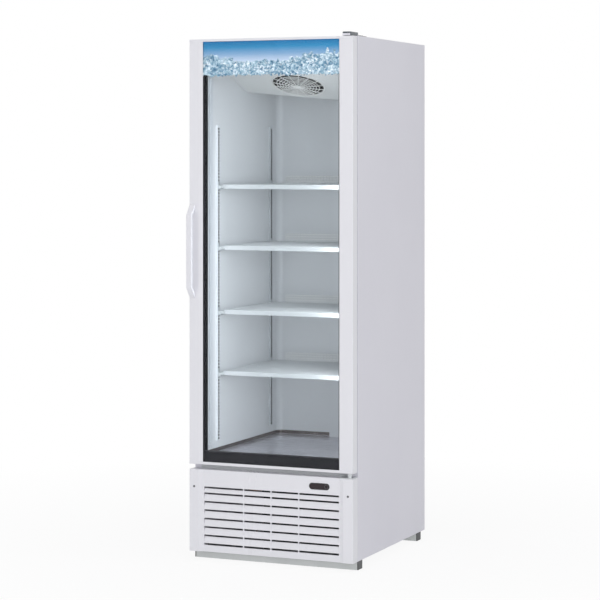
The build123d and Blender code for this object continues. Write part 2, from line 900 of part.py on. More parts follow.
def refrigerant_lines():
    """Discharge, liquid and suction lines."""
    x, y, z = compressor_x, compressor_y, compressor_base_z
    coil_x = condenser_side - condenser_width / 2 - coil_tube_radius * 2.5
    coil_top = condenser_bottom_z + condenser_height * 0.9
    coil_low = condenser_bottom_z + condenser_height * 0.1
    coil_y = condenser_front_y + condenser_depth * 0.75
    discharge = tube_run(
        [(x + compressor_radius, y, z + 70), (x + compressor_radius + 26, y, z + 70),
         (x + compressor_radius + 26, y, coil_top + 18), (-150, y - 160, coil_top + 18),
         (-150, coil_y, coil_top), (coil_x, coil_y, coil_top)],
        [9.0, 20.0, 30.0, 20.0], line_radius,
    )
    dx, dy, dz = drier_place()
    liquid = tube_run(
        [(coil_x, coil_y, coil_low), (-130, coil_y, coil_low), (-130, dy - 130, dz),
         (dx, dy - 100, dz), (dx, dy - drier_length / 2, dz)],
        [20.0, 30.0, 20.0], line_radius - 1,
    )
    evap_z = drip_z(suction_side, drain_y) + 24
    suction = tube_run(
        [(suction_side, drain_y, evap_z), (suction_side, drain_y, z + 190),
         (suction_side, y + 20, z + 190), (x, y + 20, z + 190),
         (x, y + 20, z + foot_plate + compressor_height)],
        [25.0, 25.0, 20.0], suction_radius,
    )
    return Compound([discharge, liquid, suction])


def condensate_pan():
    """Open pan under the drain, where the water dries off."""
    x0 = tray_pan_left
    y0 = drain_y - tray_pan_depth + tray_pan_behind
    outer = block(x0, x0 + tray_pan_width, y0, y0 + tray_pan_depth, tray_top_z,
                  tray_top_z + tray_pan_height)
    wall = tray_pan_wall
    inner = block(x0 + wall, x0 + tray_pan_width - wall, y0 + wall,
                  y0 + tray_pan_depth - wall, tray_top_z + wall,
                  tray_top_z + tray_pan_height + 1)
    return outer - inner


def control_box():
    """Closed sheet box with the controls, at the right side wall."""
    x1 = inside_x - tray_sheet
    x0 = x1 - box_width
    y0 = shroud_back_y + box_gap
    z0 = tray_top_z
    outer = block(x0, x1, y0, y0 + box_depth, z0, z0 + box_height)
    inner = block(x0 + box_wall, x1 - box_wall, y0 + box_wall, y0 + box_depth + 1,
                  z0 + box_wall, z0 + box_height - box_wall)
    return outer - inner


def cord_gland():
    """Gland for the supply cord in the rear grille."""
    gland = rod_y(-gland_side, back_y - gland_length, back_y - sheet, gland_z, gland_radius)
    gland += rod_y(-gland_side, back_y - sheet, back_y, gland_z, gland_flange)
    gland += rod_y(-gland_side, back_y - gland_length, inside_back_y, gland_z, gland_flange)
    return gland - rod_y(-gland_side, back_y - gland_length - 1, back_y + 1, gland_z,
                         gland_bore)


def rear_grille():
    """Slotted rear cover of the machine compartment."""
    cover = block(-inside_x, inside_x, inside_back_y, back_y - sheet,
                  bottom_z, deck_z)
    vents = []
    start_x = -(vent_columns * vent_length + (vent_columns - 1) * vent_bridge) / 2
    for column in range(vent_columns):
        x = start_x + column * (vent_length + vent_bridge)
        for row in range(vent_rows):
            z = gland_z + vent_start + row * vent_pitch
            vents.append(block(x, x + vent_length, inside_back_y - 1, back_y + 1,
                               z, z + vent_height))
    cover -= vents
    return cover - rod_y(-gland_side, inside_back_y - 1, back_y + 1, gland_z,
                         gland_radius + hole_clear / 2)


# Grille at the front

def stile_plan(wall, back, recess):
    """Plan of a frame piece, with its outer edge at x = 0 and its front at y = 0."""
    slope = recess / (stile_width - stile_flat)
    outline = Polyline(
        (wall, wall), (stile_flat - wall * slope / 2, wall),
        (stile_width - wall, recess + wall * (1 - slope / 2)),
        (stile_width - wall, back), (wall, back), close=True,
    )
    plan = make_face(outline)
    if wall == 0:
        corner = plan.vertices().sort_by_distance((0, 0))[0]
        plan = fillet(corner, stile_radius)
    return plan


def grille_side():
    """Left end piece of the grille, a cover with the door frame's outline."""
    back = front_y - door_front_y - panel_back_gap
    outer = extrude(stile_plan(0, back, grille_recess), grille_height)
    inner = extrude(stile_plan(panel_wall, back + 1, grille_recess), grille_height - panel_wall)
    x = screw_inset
    boss = rod_y(x, panel_wall, front_y - door_front_y, screw_z - bottom_z, boss_radius)
    piece = outer - inner + boss
    piece -= rod_y(x, -1, front_y - door_front_y + 1, screw_z - bottom_z,
                   screw_radius + hole_clear / 2)
    return Pos(-half_width, door_front_y, bottom_z) * piece


def grille_screws():
    """The two screws that hold the grille's end pieces."""
    x = half_width - screw_inset
    head = rod_y(x, door_front_y - screw_head, door_front_y, screw_z, screw_head_radius)
    head = fillet(head.edges().filter_by(GeomType.CIRCLE).sort_by(Axis.Y)[0], screw_head * 0.6)
    screw = head + rod_y(x, door_front_y, front_y + 12, screw_z, screw_radius)
    return Compound([screw, mirrored(screw)])


def front_grille():
    """Louvred centre of the grille, with the ledge under the door."""
    half = opening_half
    y0 = door_front_y + grille_recess
    y1 = y0 + grille_sheet
    ledge_back = front_y - panel_wall
    panel = block(-half, half, y0, y1, bottom_z, grille_top_z)
    panel += block(-half, half, y0, ledge_back, grille_top_z - grille_sheet, grille_top_z)
    panel += block(-half, half, y0, ledge_back - 12, bottom_z, bottom_z + grille_sheet)
    window_half = half_width - louvre_inset
    last_slot = slot_tops - slot_open - first_pitch - (louvre_rows - 2) * louvre_pitch
    panel -= block(-window_half, window_half, y0 - 1, y1 + 1, last_slot, slot_tops)
    low = slot_tops - first_pitch
    high = slot_tops - slot_open
    for row in range(louvre_rows - 1):
        panel += louvre(window_half, y0, low, high)
        high = low - slot_open
        low -= louvre_pitch
    for rib in (-1, 0, 1):
        x = rib * rib_spacing
        panel += block(x - rib_width / 2, x + rib_width / 2, y0 + 1.5,
                       y1 + louvre_set_back, last_slot - 4, slot_tops + 4)
    return panel - lens_cutout(lens_fit, y0 - 1, y1 + 1)


def louvre(half, y, low, high):
    """One slat, leaning back at its top."""
    section = make_face(Polyline(
        (y, low), (y + louvre_sheet, low), (y + louvre_set_back + louvre_sheet, high),
        (y + louvre_set_back, high), close=True,
    ))
    return Plane(origin=(-half, 0, 0), x_dir=(0, 1, 0), z_dir=(1, 0, 0)) * extrude(
        section, 2 * half
    )


def lens_cutout(clearance, y0, y1):
    """Long round-ended block of the display."""
    x = half_width - lens_from_right
    plan = SlotOverall(lens_length + 2 * clearance, lens_height + 2 * clearance)
    face = Plane(origin=(x, y1, lens_z), x_dir=(1, 0, 0), z_dir=(0, -1, 0)) * plan
    return extrude(face, y1 - y0)


def display_lens():
    """Dark temperature display in the grille, with its case behind."""
    y0 = door_front_y + grille_recess
    lens = lens_cutout(0, y0 - lens_proud, y0 + grille_sheet)
    x = half_width - lens_from_right
    case = block(x - lens_length / 2 - 4, x + lens_length / 2 + 4, y0 + grille_sheet,
                 y0 + grille_sheet + 14, lens_z - lens_height / 2 - 4,
                 lens_z + lens_height / 2 + 4)
    return lens + case


# Door

def stile_blank():
    """Left stile's solid outline, open groove for the glass."""
    plan = stile_plan(0, door_thickness, glass_depth - 1)
    groove = Pos(stile_width, glass_depth + (glass_back_y - glass_front_y) / 2) * Rectangle(
        2 * glass_bite, glass_back_y - glass_front_y
    )
    return plan - groove


def door_stile():
    """Left stile, a hollow bar between the door's top and bottom rails."""
    chamber_right = stile_width - glass_bite - stile_wall
    chamber = block(stile_wall, chamber_right, stile_wall, door_thickness - stile_wall,
                    0, stile_length())
    bar = extrude(stile_blank(), stile_length()) - chamber
    return Pos(-half_width, door_front_y, door_bottom_z + bottom_rail) * bar


def stile_length():
    return door_top_z - door_bottom_z - top_rail - bottom_rail


def door_stile_left():
    """Left stile with the holes for the handle's screws."""
    bar = door_stile()
    for z in handle_screw_heights():
        bar -= rod_y(handle_x(), door_front_y - 1, door_front_y + stile_wall + 1, z,
                     screw_radius + hole_clear / 2)
    return bar


def door_stile_right():
    return mirrored(door_stile())


def door_rail(bar_height, top):
    """Rail across the door: outer bar, glass groove and rear flange."""
    d = door_thickness
    g0 = glass_depth
    g1 = glass_back_y - door_front_y
    bar = block(-half_width, half_width, 0, d, 0, bar_height)
    bar += block(-opening_half, opening_half, g1, d, 0, rail_flange)
    bar -= block(-glass_half, glass_half, g0, g1, bar_height - rail_groove, rail_flange + 1)
    edges = bar.edges().filter_by(Axis.X).group_by(Axis.Y)[0].sort_by(Axis.Z)
    bar = fillet(edges[0], stile_radius)
    bar -= rod(pivot_x, pivot_depth, -1, bar_height + 1, pin_radius + hole_clear)
    if top:
        bar = Pos(0, 0, door_top_z) * mirror(bar, about=Plane.XY)
    else:
        bar = Pos(0, 0, door_bottom_z) * bar
    return Pos(0, door_front_y, 0) * bar


def door_rail_top():
    return door_rail(top_rail, True)


def door_rail_bottom():
    return door_rail(bottom_rail, False)


def glass_pane(y0):
    return block(-glass_half, glass_half, y0, y0 + pane, glass_bottom_z, glass_top_z)


def front_glass():
    return glass_pane(glass_front_y)


def rear_glass():
    return glass_pane(glass_back_y - pane)


def header_panel():
    """Printed strip behind the top of the front pane."""
    return header_space(0)


def header_space(clearance):
    y0 = glass_front_y + pane + film_gap
    half = glass_half + clearance
    return block(
        -half, half, y0 - clearance, y0 + header_thick + clearance,
        glass_top_z - header_height - clearance, glass_top_z + clearance,
    )


def glass_spacer():
    """Black spacer frame between the panes, higher along the bottom."""
    y0 = glass_front_y + pane + film_gap
    y1 = glass_back_y - pane - film_gap
    strip_y = y1 - spacer_rear_depth
    frame = spacer_ring(spacer_sight, y0, strip_y) + spacer_ring(spacer_rear_sight, strip_y, y1)
    return frame - header_space(header_clear)


def spacer_ring(sight, y0, y1):
    """One depth of the spacer, seen by its sight inside the door frame."""
    band_z = door_bottom_z + bottom_rail + bottom_band
    return ring_plate(glass_half, glass_bottom_z, glass_top_z, opening_half - sight, band_z,
                      door_top_z - top_rail - sight, y0, y1)


def door_gasket():
    """Magnetic seal around the back of the door."""
    half = half_width - seal_inset
    z0 = door_bottom_z + seal_bottom_inset
    z1 = door_top_z - seal_inset
    step = 2.0
    base_depth = 3.0
    inner = half - seal_width
    base = ring_plate(half, z0, z1, inner, z0 + seal_width, z1 - seal_width,
                      door_back_y, door_back_y + base_depth)
    bulb = ring_plate(
        half - step, z0 + step, z1 - step, inner + step, z0 + seal_width - step,
        z1 - seal_width + step, door_back_y + base_depth, front_y - seal_clear,
    )
    return base + bulb


def handle_x():
    return handle_inset + handle_width / 2 - half_width


def handle_screw_heights():
    reach = handle_length / 2 - handle_screw_from_end
    return (handle_centre_z - reach, handle_centre_z + reach)


def door_handle():
    """Bridge handle with slanted legs on the left stile."""
    end = handle_length / 2
    bend = handle_straight / 2
    run = end - bend
    leg = (run ** 2 + handle_reach ** 2) ** 0.5
    foot = handle_thick * leg / handle_reach
    inner_reach = handle_reach - handle_thick
    inner_bend = end - foot - run * inner_reach / handle_reach
    section = make_face(Polyline(
        (0, end), (-handle_reach, bend), (-handle_reach, -bend), (0, -end),
        (0, foot - end), (-inner_reach, -inner_bend), (-inner_reach, inner_bend),
        (0, end - foot), close=True,
    ))
    outside = section.vertices().group_by(Axis.X)[0]
    section = fillet(outside, handle_round * 3)
    inside = section.vertices().group_by(Axis.X)[-2]
    bar = extrude(section, handle_width)
    faces = bar.faces().sort_by(Axis.Z)
    rims = faces[0].edges() + faces[-1].edges()
    rims = [e for e in rims if e.center().X < -handle_round]
    bar = fillet(rims, handle_round)
    place = Plane(
        origin=(handle_inset - half_width, door_front_y, handle_centre_z),
        x_dir=(0, 1, 0), z_dir=(1, 0, 0),
    )
    bar = place * bar
    for z in handle_screw_heights():
        bar -= rod_y(handle_x(), door_front_y - 5.5, door_front_y + 1, z,
                     screw_radius + hole_clear / 4)
    return bar


def handle_screws():
    """Screws through the stile into the handle's feet."""
    screws = []
    for z in handle_screw_heights():
        inside = door_front_y + stile_wall
        screw = rod_y(handle_x(), door_front_y - 5, inside, z, screw_radius)
        screws.append(screw + rod_y(handle_x(), inside, inside + 3, z, screw_head_radius))
    return Compound(screws)


def hinge_bushes():
    """Bush blocks in both ends of the right stile."""
    x1 = half_width - stile_wall - bush_fit
    x0 = half_width - (stile_width - glass_bite - stile_wall) + bush_fit
    y0 = door_front_y + stile_wall + bush_fit
    y1 = door_back_y - stile_wall - bush_fit
    low = door_bottom_z + bottom_rail
    high = door_top_z - top_rail
    bushes = []
    for z0 in (low, high - bush_height):
        bush = block(x0, x1, y0, y1, z0, z0 + bush_height)
        bushes.append(bush - rod(pivot_x, pivot_y, z0 - 1, z0 + bush_height + 1,
                                 pin_radius + running_fit))
    return Compound(bushes)


# Hinge brackets

def hinge_screw_places():
    """Screws of the top bracket, in a row towards the back."""
    start = front_y + hinge_screw_start
    x = half_width - pivot_inset - hinge_screw_side
    return [(x, start + hinge_screw_pitch * number) for number in range(3)]


def top_hinge_bracket():
    """Steel plate on the cabinet's top with the upper hinge pin."""
    x1 = half_width - hinge_cap_inset - cap_wall - bracket_clear
    x0 = x1 - hinge_width
    y0 = door_front_y + hinge_cap_front + cap_wall + bracket_clear
    plate = block(x0, x1, y0, door_front_y + hinge_tail, top_z, top_z + hinge_plate)
    for x, y in hinge_screw_places():
        plate -= rod(x, y, top_z - 1, top_z + hinge_plate + 1, screw_radius + hole_clear)
    low = door_top_z - top_rail - pin_reach
    return plate + rod(pivot_x, pivot_y, low, top_z + hinge_plate, pin_radius)


def top_hinge_cap():
    """Dark cover over the top hinge."""
    x1 = half_width - hinge_cap_inset
    x0 = x1 - hinge_cap_width
    y0 = door_front_y + hinge_cap_front
    y1 = y0 + hinge_cap_length
    cap = block(x0, x1, y0, y1, top_z, top_z + hinge_cap_height)
    upright = cap.edges().filter_by(Axis.Z)
    cap = fillet(upright, cap_round)
    cap = chamfer(cap.faces().sort_by(Axis.Z)[-1].edges(), cap_edge)
    cap -= block(x0 + cap_wall, x1 - cap_wall, y0 + cap_wall, y1 - cap_wall,
                 top_z - 1, top_z + hinge_cap_height - cap_wall)
    return cap - block(x0 + cap_wall, x1 - cap_wall, y1 - cap_wall - 1, y1 + 1,
                       top_z - 1, top_z + hinge_plate + bracket_clear)


def bottom_hinge_bracket():
    """Steel angle behind the grille with the lower pin and its collar."""
    z0 = grille_top_z + bracket_clear
    x1 = half_width - bracket_inset
    x0 = half_width - bottom_plate_width
    leg_y = front_y - leg_sheet
    plate = block(x0, x1, door_front_y + bracket_inset, front_y, z0, z0 + bottom_plate)
    plate += block(x0, x1, leg_y, front_y, z0 - hinge_leg, z0)
    for x, y, z in bottom_screw_places():
        plate -= rod_y(x, leg_y - 1, front_y + 1, z, screw_radius + hole_clear)
    collar_top = door_bottom_z - bracket_clear
    plate += rod(pivot_x, pivot_y, z0, collar_top, collar_radius)
    pin_top = door_bottom_z + bottom_rail + pin_reach
    return plate + rod(pivot_x, pivot_y, collar_top, pin_top, pin_radius)


def bottom_screw_places():
    """Screws of the lower bracket in the cabinet's front edge."""
    x = half_width - flange / 2 - bracket_inset
    y = front_y - leg_sheet
    high = grille_top_z - leg_screw_drop
    return [(x, y, high), (x, y, high - hinge_screw_pitch)]


def hinge_screws():
    """Screws of both hinge brackets."""
    screws = []
    for x, y in hinge_screw_places():
        screw = rod(x, y, top_z, top_z + hinge_plate, screw_radius)
        screws.append(screw + rod(x, y, top_z + hinge_plate,
                                  top_z + hinge_plate + bracket_screw_head, screw_head_radius))
    for x, y, z in bottom_screw_places():
        screw = rod_y(x, y, front_y, z, screw_radius)
        screws.append(screw + rod_y(x, y - bracket_screw_head, y, z, screw_head_radius))
    return Compound(screws)


def grille_side_right():
    """Right end piece of the grille."""
    return mirrored(grille_side())


def side_panel_left():
    return mirrored(side_panel())


def front_rail():
    return base_rail(rail_depth / 2)


def rear_rail():
    return base_rail(rear_rail_depth)


NODES = {
    "side_panel_left": side_panel_left,
    "side_panel_right": side_panel,
    "top_panel": top_panel,
    "back_panel": back_panel,
    "compartment_deck": compartment_deck,
    "base_tray": base_tray,
    "front_rail": front_rail,
    "rear_rail": rear_rail,
    "rail_end_caps": rail_end_caps,
    "insulation_foam": insulation_foam,
    "inner_liner": inner_liner,
    "breaker_frame": breaker_frame,
    "floor_pan": floor_pan,
    "rear_line_cover": rear_line_cover,
    "drain_tube": drain_tube,
    "evaporator_cover": evaporator_cover,
    "evaporator_fan_guard": evaporator_fan_guard,
    "evaporator_fan_motor": evaporator_fan_motor,
    "evaporator_fan_blade": evaporator_fan_blade,
    "evaporator_coil": evaporator_coil,
    "led_lamps": led_lamps,
    "pilasters": pilasters,
    "shelf_clips": shelf_clips,
    "compressor": compressor,
    "compressor_grommets": compressor_grommets,
    "condenser_coil": condenser_coil,
    "condenser_shroud": condenser_shroud,
    "condenser_fan_motor": condenser_fan_motor,
    "condenser_fan_blade": condenser_fan_blade,
    "filter_drier": filter_drier,
    "refrigerant_lines": refrigerant_lines,
    "condensate_pan": condensate_pan,
    "control_box": control_box,
    "grille_side_left": grille_side,
    "grille_side_right": grille_side_right,
    "front_grille": front_grille,
    "grille_screws": grille_screws,
    "display_lens": display_lens,
    "rear_grille": rear_grille,
    "cord_gland": cord_gland,
    "top_hinge_bracket": top_hinge_bracket,
    "top_hinge_cap": top_hinge_cap,
    "bottom_hinge_bracket": bottom_hinge_bracket,
    "hinge_screws": hinge_screws,
    "door_stile_left": door_stile_left,
    "door_stile_right": door_stile_right,
    "door_rail_top": door_rail_top,
    "door_rail_bottom": door_rail_bottom,
    "front_glass": front_glass,
    "rear_glass": rear_glass,
    "glass_spacer": glass_spacer,
    "header_panel": header_panel,
    "door_gasket": door_gasket,
    "door_handle": door_handle,
    "handle_screws": handle_screws,
    "hinge_bushes": hinge_bushes,
}

os.makedirs("parts", exist_ok=True)
for name, make in NODES.items():
    export_step(make(), f"parts/{name}.step")
wire_shelf = shelf()
for number in range(len(shelf_slots)):
    export_step(Pos(0, 0, shelf_top_z(number)) * wire_shelf, f"parts/shelf_{number + 1}.step")
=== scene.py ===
import bmesh
import bpy
import json
from math import cos, pi, radians, sin
from mathutils import Matrix, Vector


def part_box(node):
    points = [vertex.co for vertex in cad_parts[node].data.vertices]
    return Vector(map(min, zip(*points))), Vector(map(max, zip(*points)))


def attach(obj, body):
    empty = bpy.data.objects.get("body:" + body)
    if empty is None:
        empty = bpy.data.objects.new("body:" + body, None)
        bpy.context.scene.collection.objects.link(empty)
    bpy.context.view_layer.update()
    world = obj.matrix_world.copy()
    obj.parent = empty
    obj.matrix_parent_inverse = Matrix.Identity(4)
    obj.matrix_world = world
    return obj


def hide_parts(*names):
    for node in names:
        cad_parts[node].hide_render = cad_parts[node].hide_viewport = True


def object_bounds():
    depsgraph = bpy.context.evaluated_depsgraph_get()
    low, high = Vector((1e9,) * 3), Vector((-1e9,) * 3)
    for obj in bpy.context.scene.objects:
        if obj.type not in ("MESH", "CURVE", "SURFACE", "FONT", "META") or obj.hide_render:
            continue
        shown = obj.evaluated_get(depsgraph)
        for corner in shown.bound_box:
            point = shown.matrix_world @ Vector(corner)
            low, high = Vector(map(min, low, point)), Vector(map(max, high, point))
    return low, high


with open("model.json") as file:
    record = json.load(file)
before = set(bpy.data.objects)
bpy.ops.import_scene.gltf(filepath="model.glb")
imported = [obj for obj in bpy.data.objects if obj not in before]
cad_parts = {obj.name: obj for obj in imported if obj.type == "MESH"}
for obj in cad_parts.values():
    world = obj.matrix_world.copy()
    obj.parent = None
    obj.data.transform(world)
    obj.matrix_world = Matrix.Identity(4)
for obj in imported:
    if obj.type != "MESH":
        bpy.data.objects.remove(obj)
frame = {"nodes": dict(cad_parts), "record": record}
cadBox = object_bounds()
scene = bpy.context.scene
nodes = frame["nodes"]
print("frame loaded:", len(nodes), "nodes")


# Small helpers for node trees

def put(tree, kind, values=None, **settings):
    # A new node with its settings; the values go to the sockets of the same names
    node = tree.nodes.new(kind)
    for key, value in settings.items():
        setattr(node, key, value)
    feedAll(tree, node, values or {})
    return node


def feed(tree, target, value):
    # A socket takes a plain value, a link or a list of links
    if isinstance(value, (int, float, tuple, Vector)):
        target.default_value = value
    else:
        for source in value if isinstance(value, list) else [value]:
            tree.links.new(source, target)


def feedAll(tree, node, values):
    for name, value in values.items():
        feed(tree, node.inputs[name], value)


def mathNode(tree, operation, *values, clamp=False):
    node = put(tree, "ShaderNodeMath", dict(enumerate(values)), operation=operation, use_clamp=clamp)
    return node.outputs[0]


def add(tree, first, second):
    return mathNode(tree, "ADD", first, second)


def subtract(tree, first, second):
    return mathNode(tree, "SUBTRACT", first, second)


def multiply(tree, first, second):
    return mathNode(tree, "MULTIPLY", first, second)


def divide(tree, first, second):
    return mathNode(tree, "DIVIDE", first, second)


def rampNode(tree, factor, stops):
    node = put(tree, "ShaderNodeValToRGB", {"Fac": factor})
    elements = node.color_ramp.elements
    while len(elements) < len(stops):
        elements.new(0.5)
    for element, (place, colour) in zip(elements, stops):
        element.position = place
        element.color = (*colour, 1)
    return node.outputs[0]


def mixColour(tree, factor, first, second, blend="MIX"):
    # The node has sockets of the same names for other kinds of values, so each is found by both
    node = put(tree, "ShaderNodeMix", data_type="RGBA", blend_type=blend)
    for name, kind, value in (("Factor", "VALUE", factor), ("A", "RGBA", first), ("B", "RGBA", second)):
        socket = next(s for s in node.inputs if s.name == name and s.type == kind)
        feed(tree, socket, (*value, 1) if isinstance(value, tuple) else value)
    return next(s for s in node.outputs if s.type == "RGBA")


def mixShaders(tree, factor, first, second, output):
    # Two shaders mixed into the tree's output node
    mix = put(tree, "ShaderNodeMixShader", {"Fac": factor, 1: first, 2: second})
    feed(tree, tree.nodes[output].inputs["Surface"], mix.outputs["Shader"])


def spread(tree, value, low, high, toLow=0.0, toHigh=1.0):
    return put(tree, "ShaderNodeMapRange", {
        "Value": value, "From Min": low, "From Max": high, "To Min": toLow, "To Max": toHigh,
    }).outputs["Result"]


def placeOf(tree):
    return put(tree, "ShaderNodeTexCoord").outputs["Object"]


def axesOf(tree, vector):
    node = put(tree, "ShaderNodeSeparateXYZ", {0: vector})
    return node.outputs["X"], node.outputs["Y"], node.outputs["Z"]


def vectorOf(tree, x=0.0, y=0.0, z=0.0):
    return put(tree, "ShaderNodeCombineXYZ", {"X": x, "Y": y, "Z": z}).outputs["Vector"]


def noiseOf(tree, vector, scale, detail, roughness=0.5, distortion=0.0):
    return put(tree, "ShaderNodeTexNoise", {
        "Vector": vector, "Scale": scale, "Detail": detail, "Roughness": roughness,
        "Distortion": distortion,
    }).outputs["Fac"]


def bumpOf(tree, height, strength, distance):
    return put(tree, "ShaderNodeBump", {
        "Height": height, "Strength": strength, "Distance": distance,
    }).outputs["Normal"]


def seenDirectly(tree):
    # True for rays from the camera, through glass or off a mirror
    path = put(tree, "ShaderNodeLightPath").outputs
    seen = mathNode(tree, "MAXIMUM", path["Is Camera Ray"], path["Is Transmission Ray"])
    return mathNode(tree, "MAXIMUM", seen, path["Is Glossy Ray"])


# Shader groups that several finishes share

def newGroup(name, inputs, outputs, kind="ShaderNodeTree"):
    # An input has its starting value beside its name, or its kind where it has no such value
    kinds = {int: "Int", float: "Float", tuple: "Color", Vector: "Vector"}
    tree = bpy.data.node_groups.new(name, kind)
    for label, value in inputs.items():
        plain = type(value) in kinds
        socketKind = "NodeSocket" + (kinds[type(value)] if plain else value)
        socket = tree.interface.new_socket(label, in_out="INPUT", socket_type=socketKind)
        if plain:
            socket.default_value = value
    for label, value in outputs.items():
        tree.interface.new_socket(label, in_out="OUTPUT", socket_type="NodeSocket" + value)
    return tree, put(tree, "NodeGroupInput").outputs, put(tree, "NodeGroupOutput").inputs


def makeOrangePeel():
    # The fine waves of sprayed or moulded surfaces
    tree, given, result = newGroup("orangePeel", {"Scale": 700.0, "Depth": 0.08}, {"Normal": "Vector"})
    waves = noiseOf(tree, placeOf(tree), given["Scale"], detail=3.0, roughness=0.45)
    feed(tree, result["Normal"], bumpOf(tree, waves, given["Depth"], distance=0.0004))
    return tree


def makeToneDrift():
    # Slow and fine changes of a colour
    slowShare, fineShare, low, high = 0.65, 0.35, 0.35, 0.65
    tree, given, result = newGroup("toneDrift", {
        "Colour": (0.8, 0.8, 0.8, 1), "Darker": (0.7, 0.7, 0.7, 1), "Scale": 3.0, "Fine Scale": 90.0,
        "Amount": 0.5,
    }, {"Colour": "Color"})
    place = placeOf(tree)
    slow = noiseOf(tree, place, given["Scale"], detail=4.0, roughness=0.55)
    fine = noiseOf(tree, place, given["Fine Scale"], detail=4.0, roughness=0.55)
    both = mathNode(tree, "MULTIPLY_ADD", fine, fineShare, multiply(tree, slow, slowShare))
    amount = mathNode(tree, "MULTIPLY", spread(tree, both, low, high), given["Amount"], clamp=True)
    feed(tree, result["Colour"], mixColour(tree, amount, given["Colour"], given["Darker"]))
    return tree


def makeWipedSheen():
    # Roughness that changes where a surface was wiped
    low, high, stretch = 0.3, 0.7, (1.0, 1.0, 0.35)
    tree, given, result = newGroup("wipedSheen", {
        "Low": 0.3, "High": 0.45, "Scale": 6.0,
    }, {"Roughness": "Float"})
    place = put(tree, "ShaderNodeMapping", {"Vector": placeOf(tree), "Scale": stretch}).outputs["Vector"]
    wiped = noiseOf(tree, place, given["Scale"], detail=5.0, roughness=0.6, distortion=0.6)
    feed(tree, result["Roughness"], spread(tree, wiped, low, high, given["Low"], given["High"]))
    return tree


def makeDrawnLines():
    # Fine lines left by rolling or brushing along X
    low, high = 0.3, 0.7
    tree, given, result = newGroup("drawnLines", {
        "Along": 3.0, "Across": 900.0, "Low": 0.18, "High": 0.34, "Depth": 0.05,
    }, {"Roughness": "Float", "Normal": "Vector"})
    x, y, z = axesOf(tree, placeOf(tree))
    stretched = vectorOf(tree, multiply(tree, x, given["Along"]), multiply(tree, y, given["Across"]),
                         multiply(tree, z, given["Across"]))
    lines = noiseOf(tree, stretched, 1.0, detail=2.0)
    feed(tree, result["Roughness"], spread(tree, lines, low, high, given["Low"], given["High"]))
    feed(tree, result["Normal"], bumpOf(tree, lines, given["Depth"], distance=0.0002))
    return tree


orangePeel = makeOrangePeel()
toneDrift = makeToneDrift()
wipedSheen = makeWipedSheen()
drawnLines = makeDrawnLines()


def useGroup(tree, group, values):
    return put(tree, "ShaderNodeGroup", values, node_tree=group).outputs


def blankFinish(name, constants):
    material = bpy.data.materials.new(name)
    material.use_nodes = True
    shader = material.node_tree.nodes["Principled BSDF"]
    feedAll(material.node_tree, shader, constants)
    return material, material.node_tree, shader


def driftOf(tree, finish):
    return useGroup(tree, toneDrift, {
        "Colour": (*finish["colour"], 1), "Darker": (*finish["darker"], 1), "Amount": finish["drift"],
        "Scale": finish.get("driftScale", 2.5), "Fine Scale": finish.get("fineScale", 120.0),
    })["Colour"]


def sheenOf(tree, finish):
    low, high = finish["rough"]
    values = {"Low": low, "High": high, "Scale": finish.get("sheenScale", 5.0)}
    return useGroup(tree, wipedSheen, values)["Roughness"]


def linesOf(tree, finish):
    low, high = finish["rough"]
    return useGroup(tree, drawnLines, {
        "Along": finish["along"], "Across": finish["across"], "Low": low, "High": high,
        "Depth": finish["depth"],
    })


def coatFinish(name, finish):
    # A painted, moulded or coated surface; one without a grain is polished
    material, tree, shader = blankFinish(name, {
        "Metallic": finish.get("metal", 0.0), "Specular IOR Level": finish.get("specular", 0.5),
        "Coat Weight": finish.get("coat", 0.0), "Coat Roughness": finish.get("coatRough", 0.12),
    })
    feedAll(tree, shader, {"Base Color": driftOf(tree, finish), "Roughness": sheenOf(tree, finish)})
    if "grain" in finish:
        peel = useGroup(tree, orangePeel, {"Scale": finish["grain"], "Depth": finish["depth"]})
        feed(tree, shader.inputs["Normal"], peel["Normal"])
    return material


def metalFinish(name, finish):
    # Bright metal with fine lines
    material, tree, shader = blankFinish(name, {"Metallic": finish.get("metal", 1.0)})
    lines = linesOf(tree, finish)
    drift = driftOf(tree, {**finish, "driftScale": 4.0, "fineScale": 60.0, "drift": 0.6})
    feedAll(tree, shader, {
        "Base Color": drift, "Roughness": lines["Roughness"], "Normal": lines["Normal"],
    })
    return material


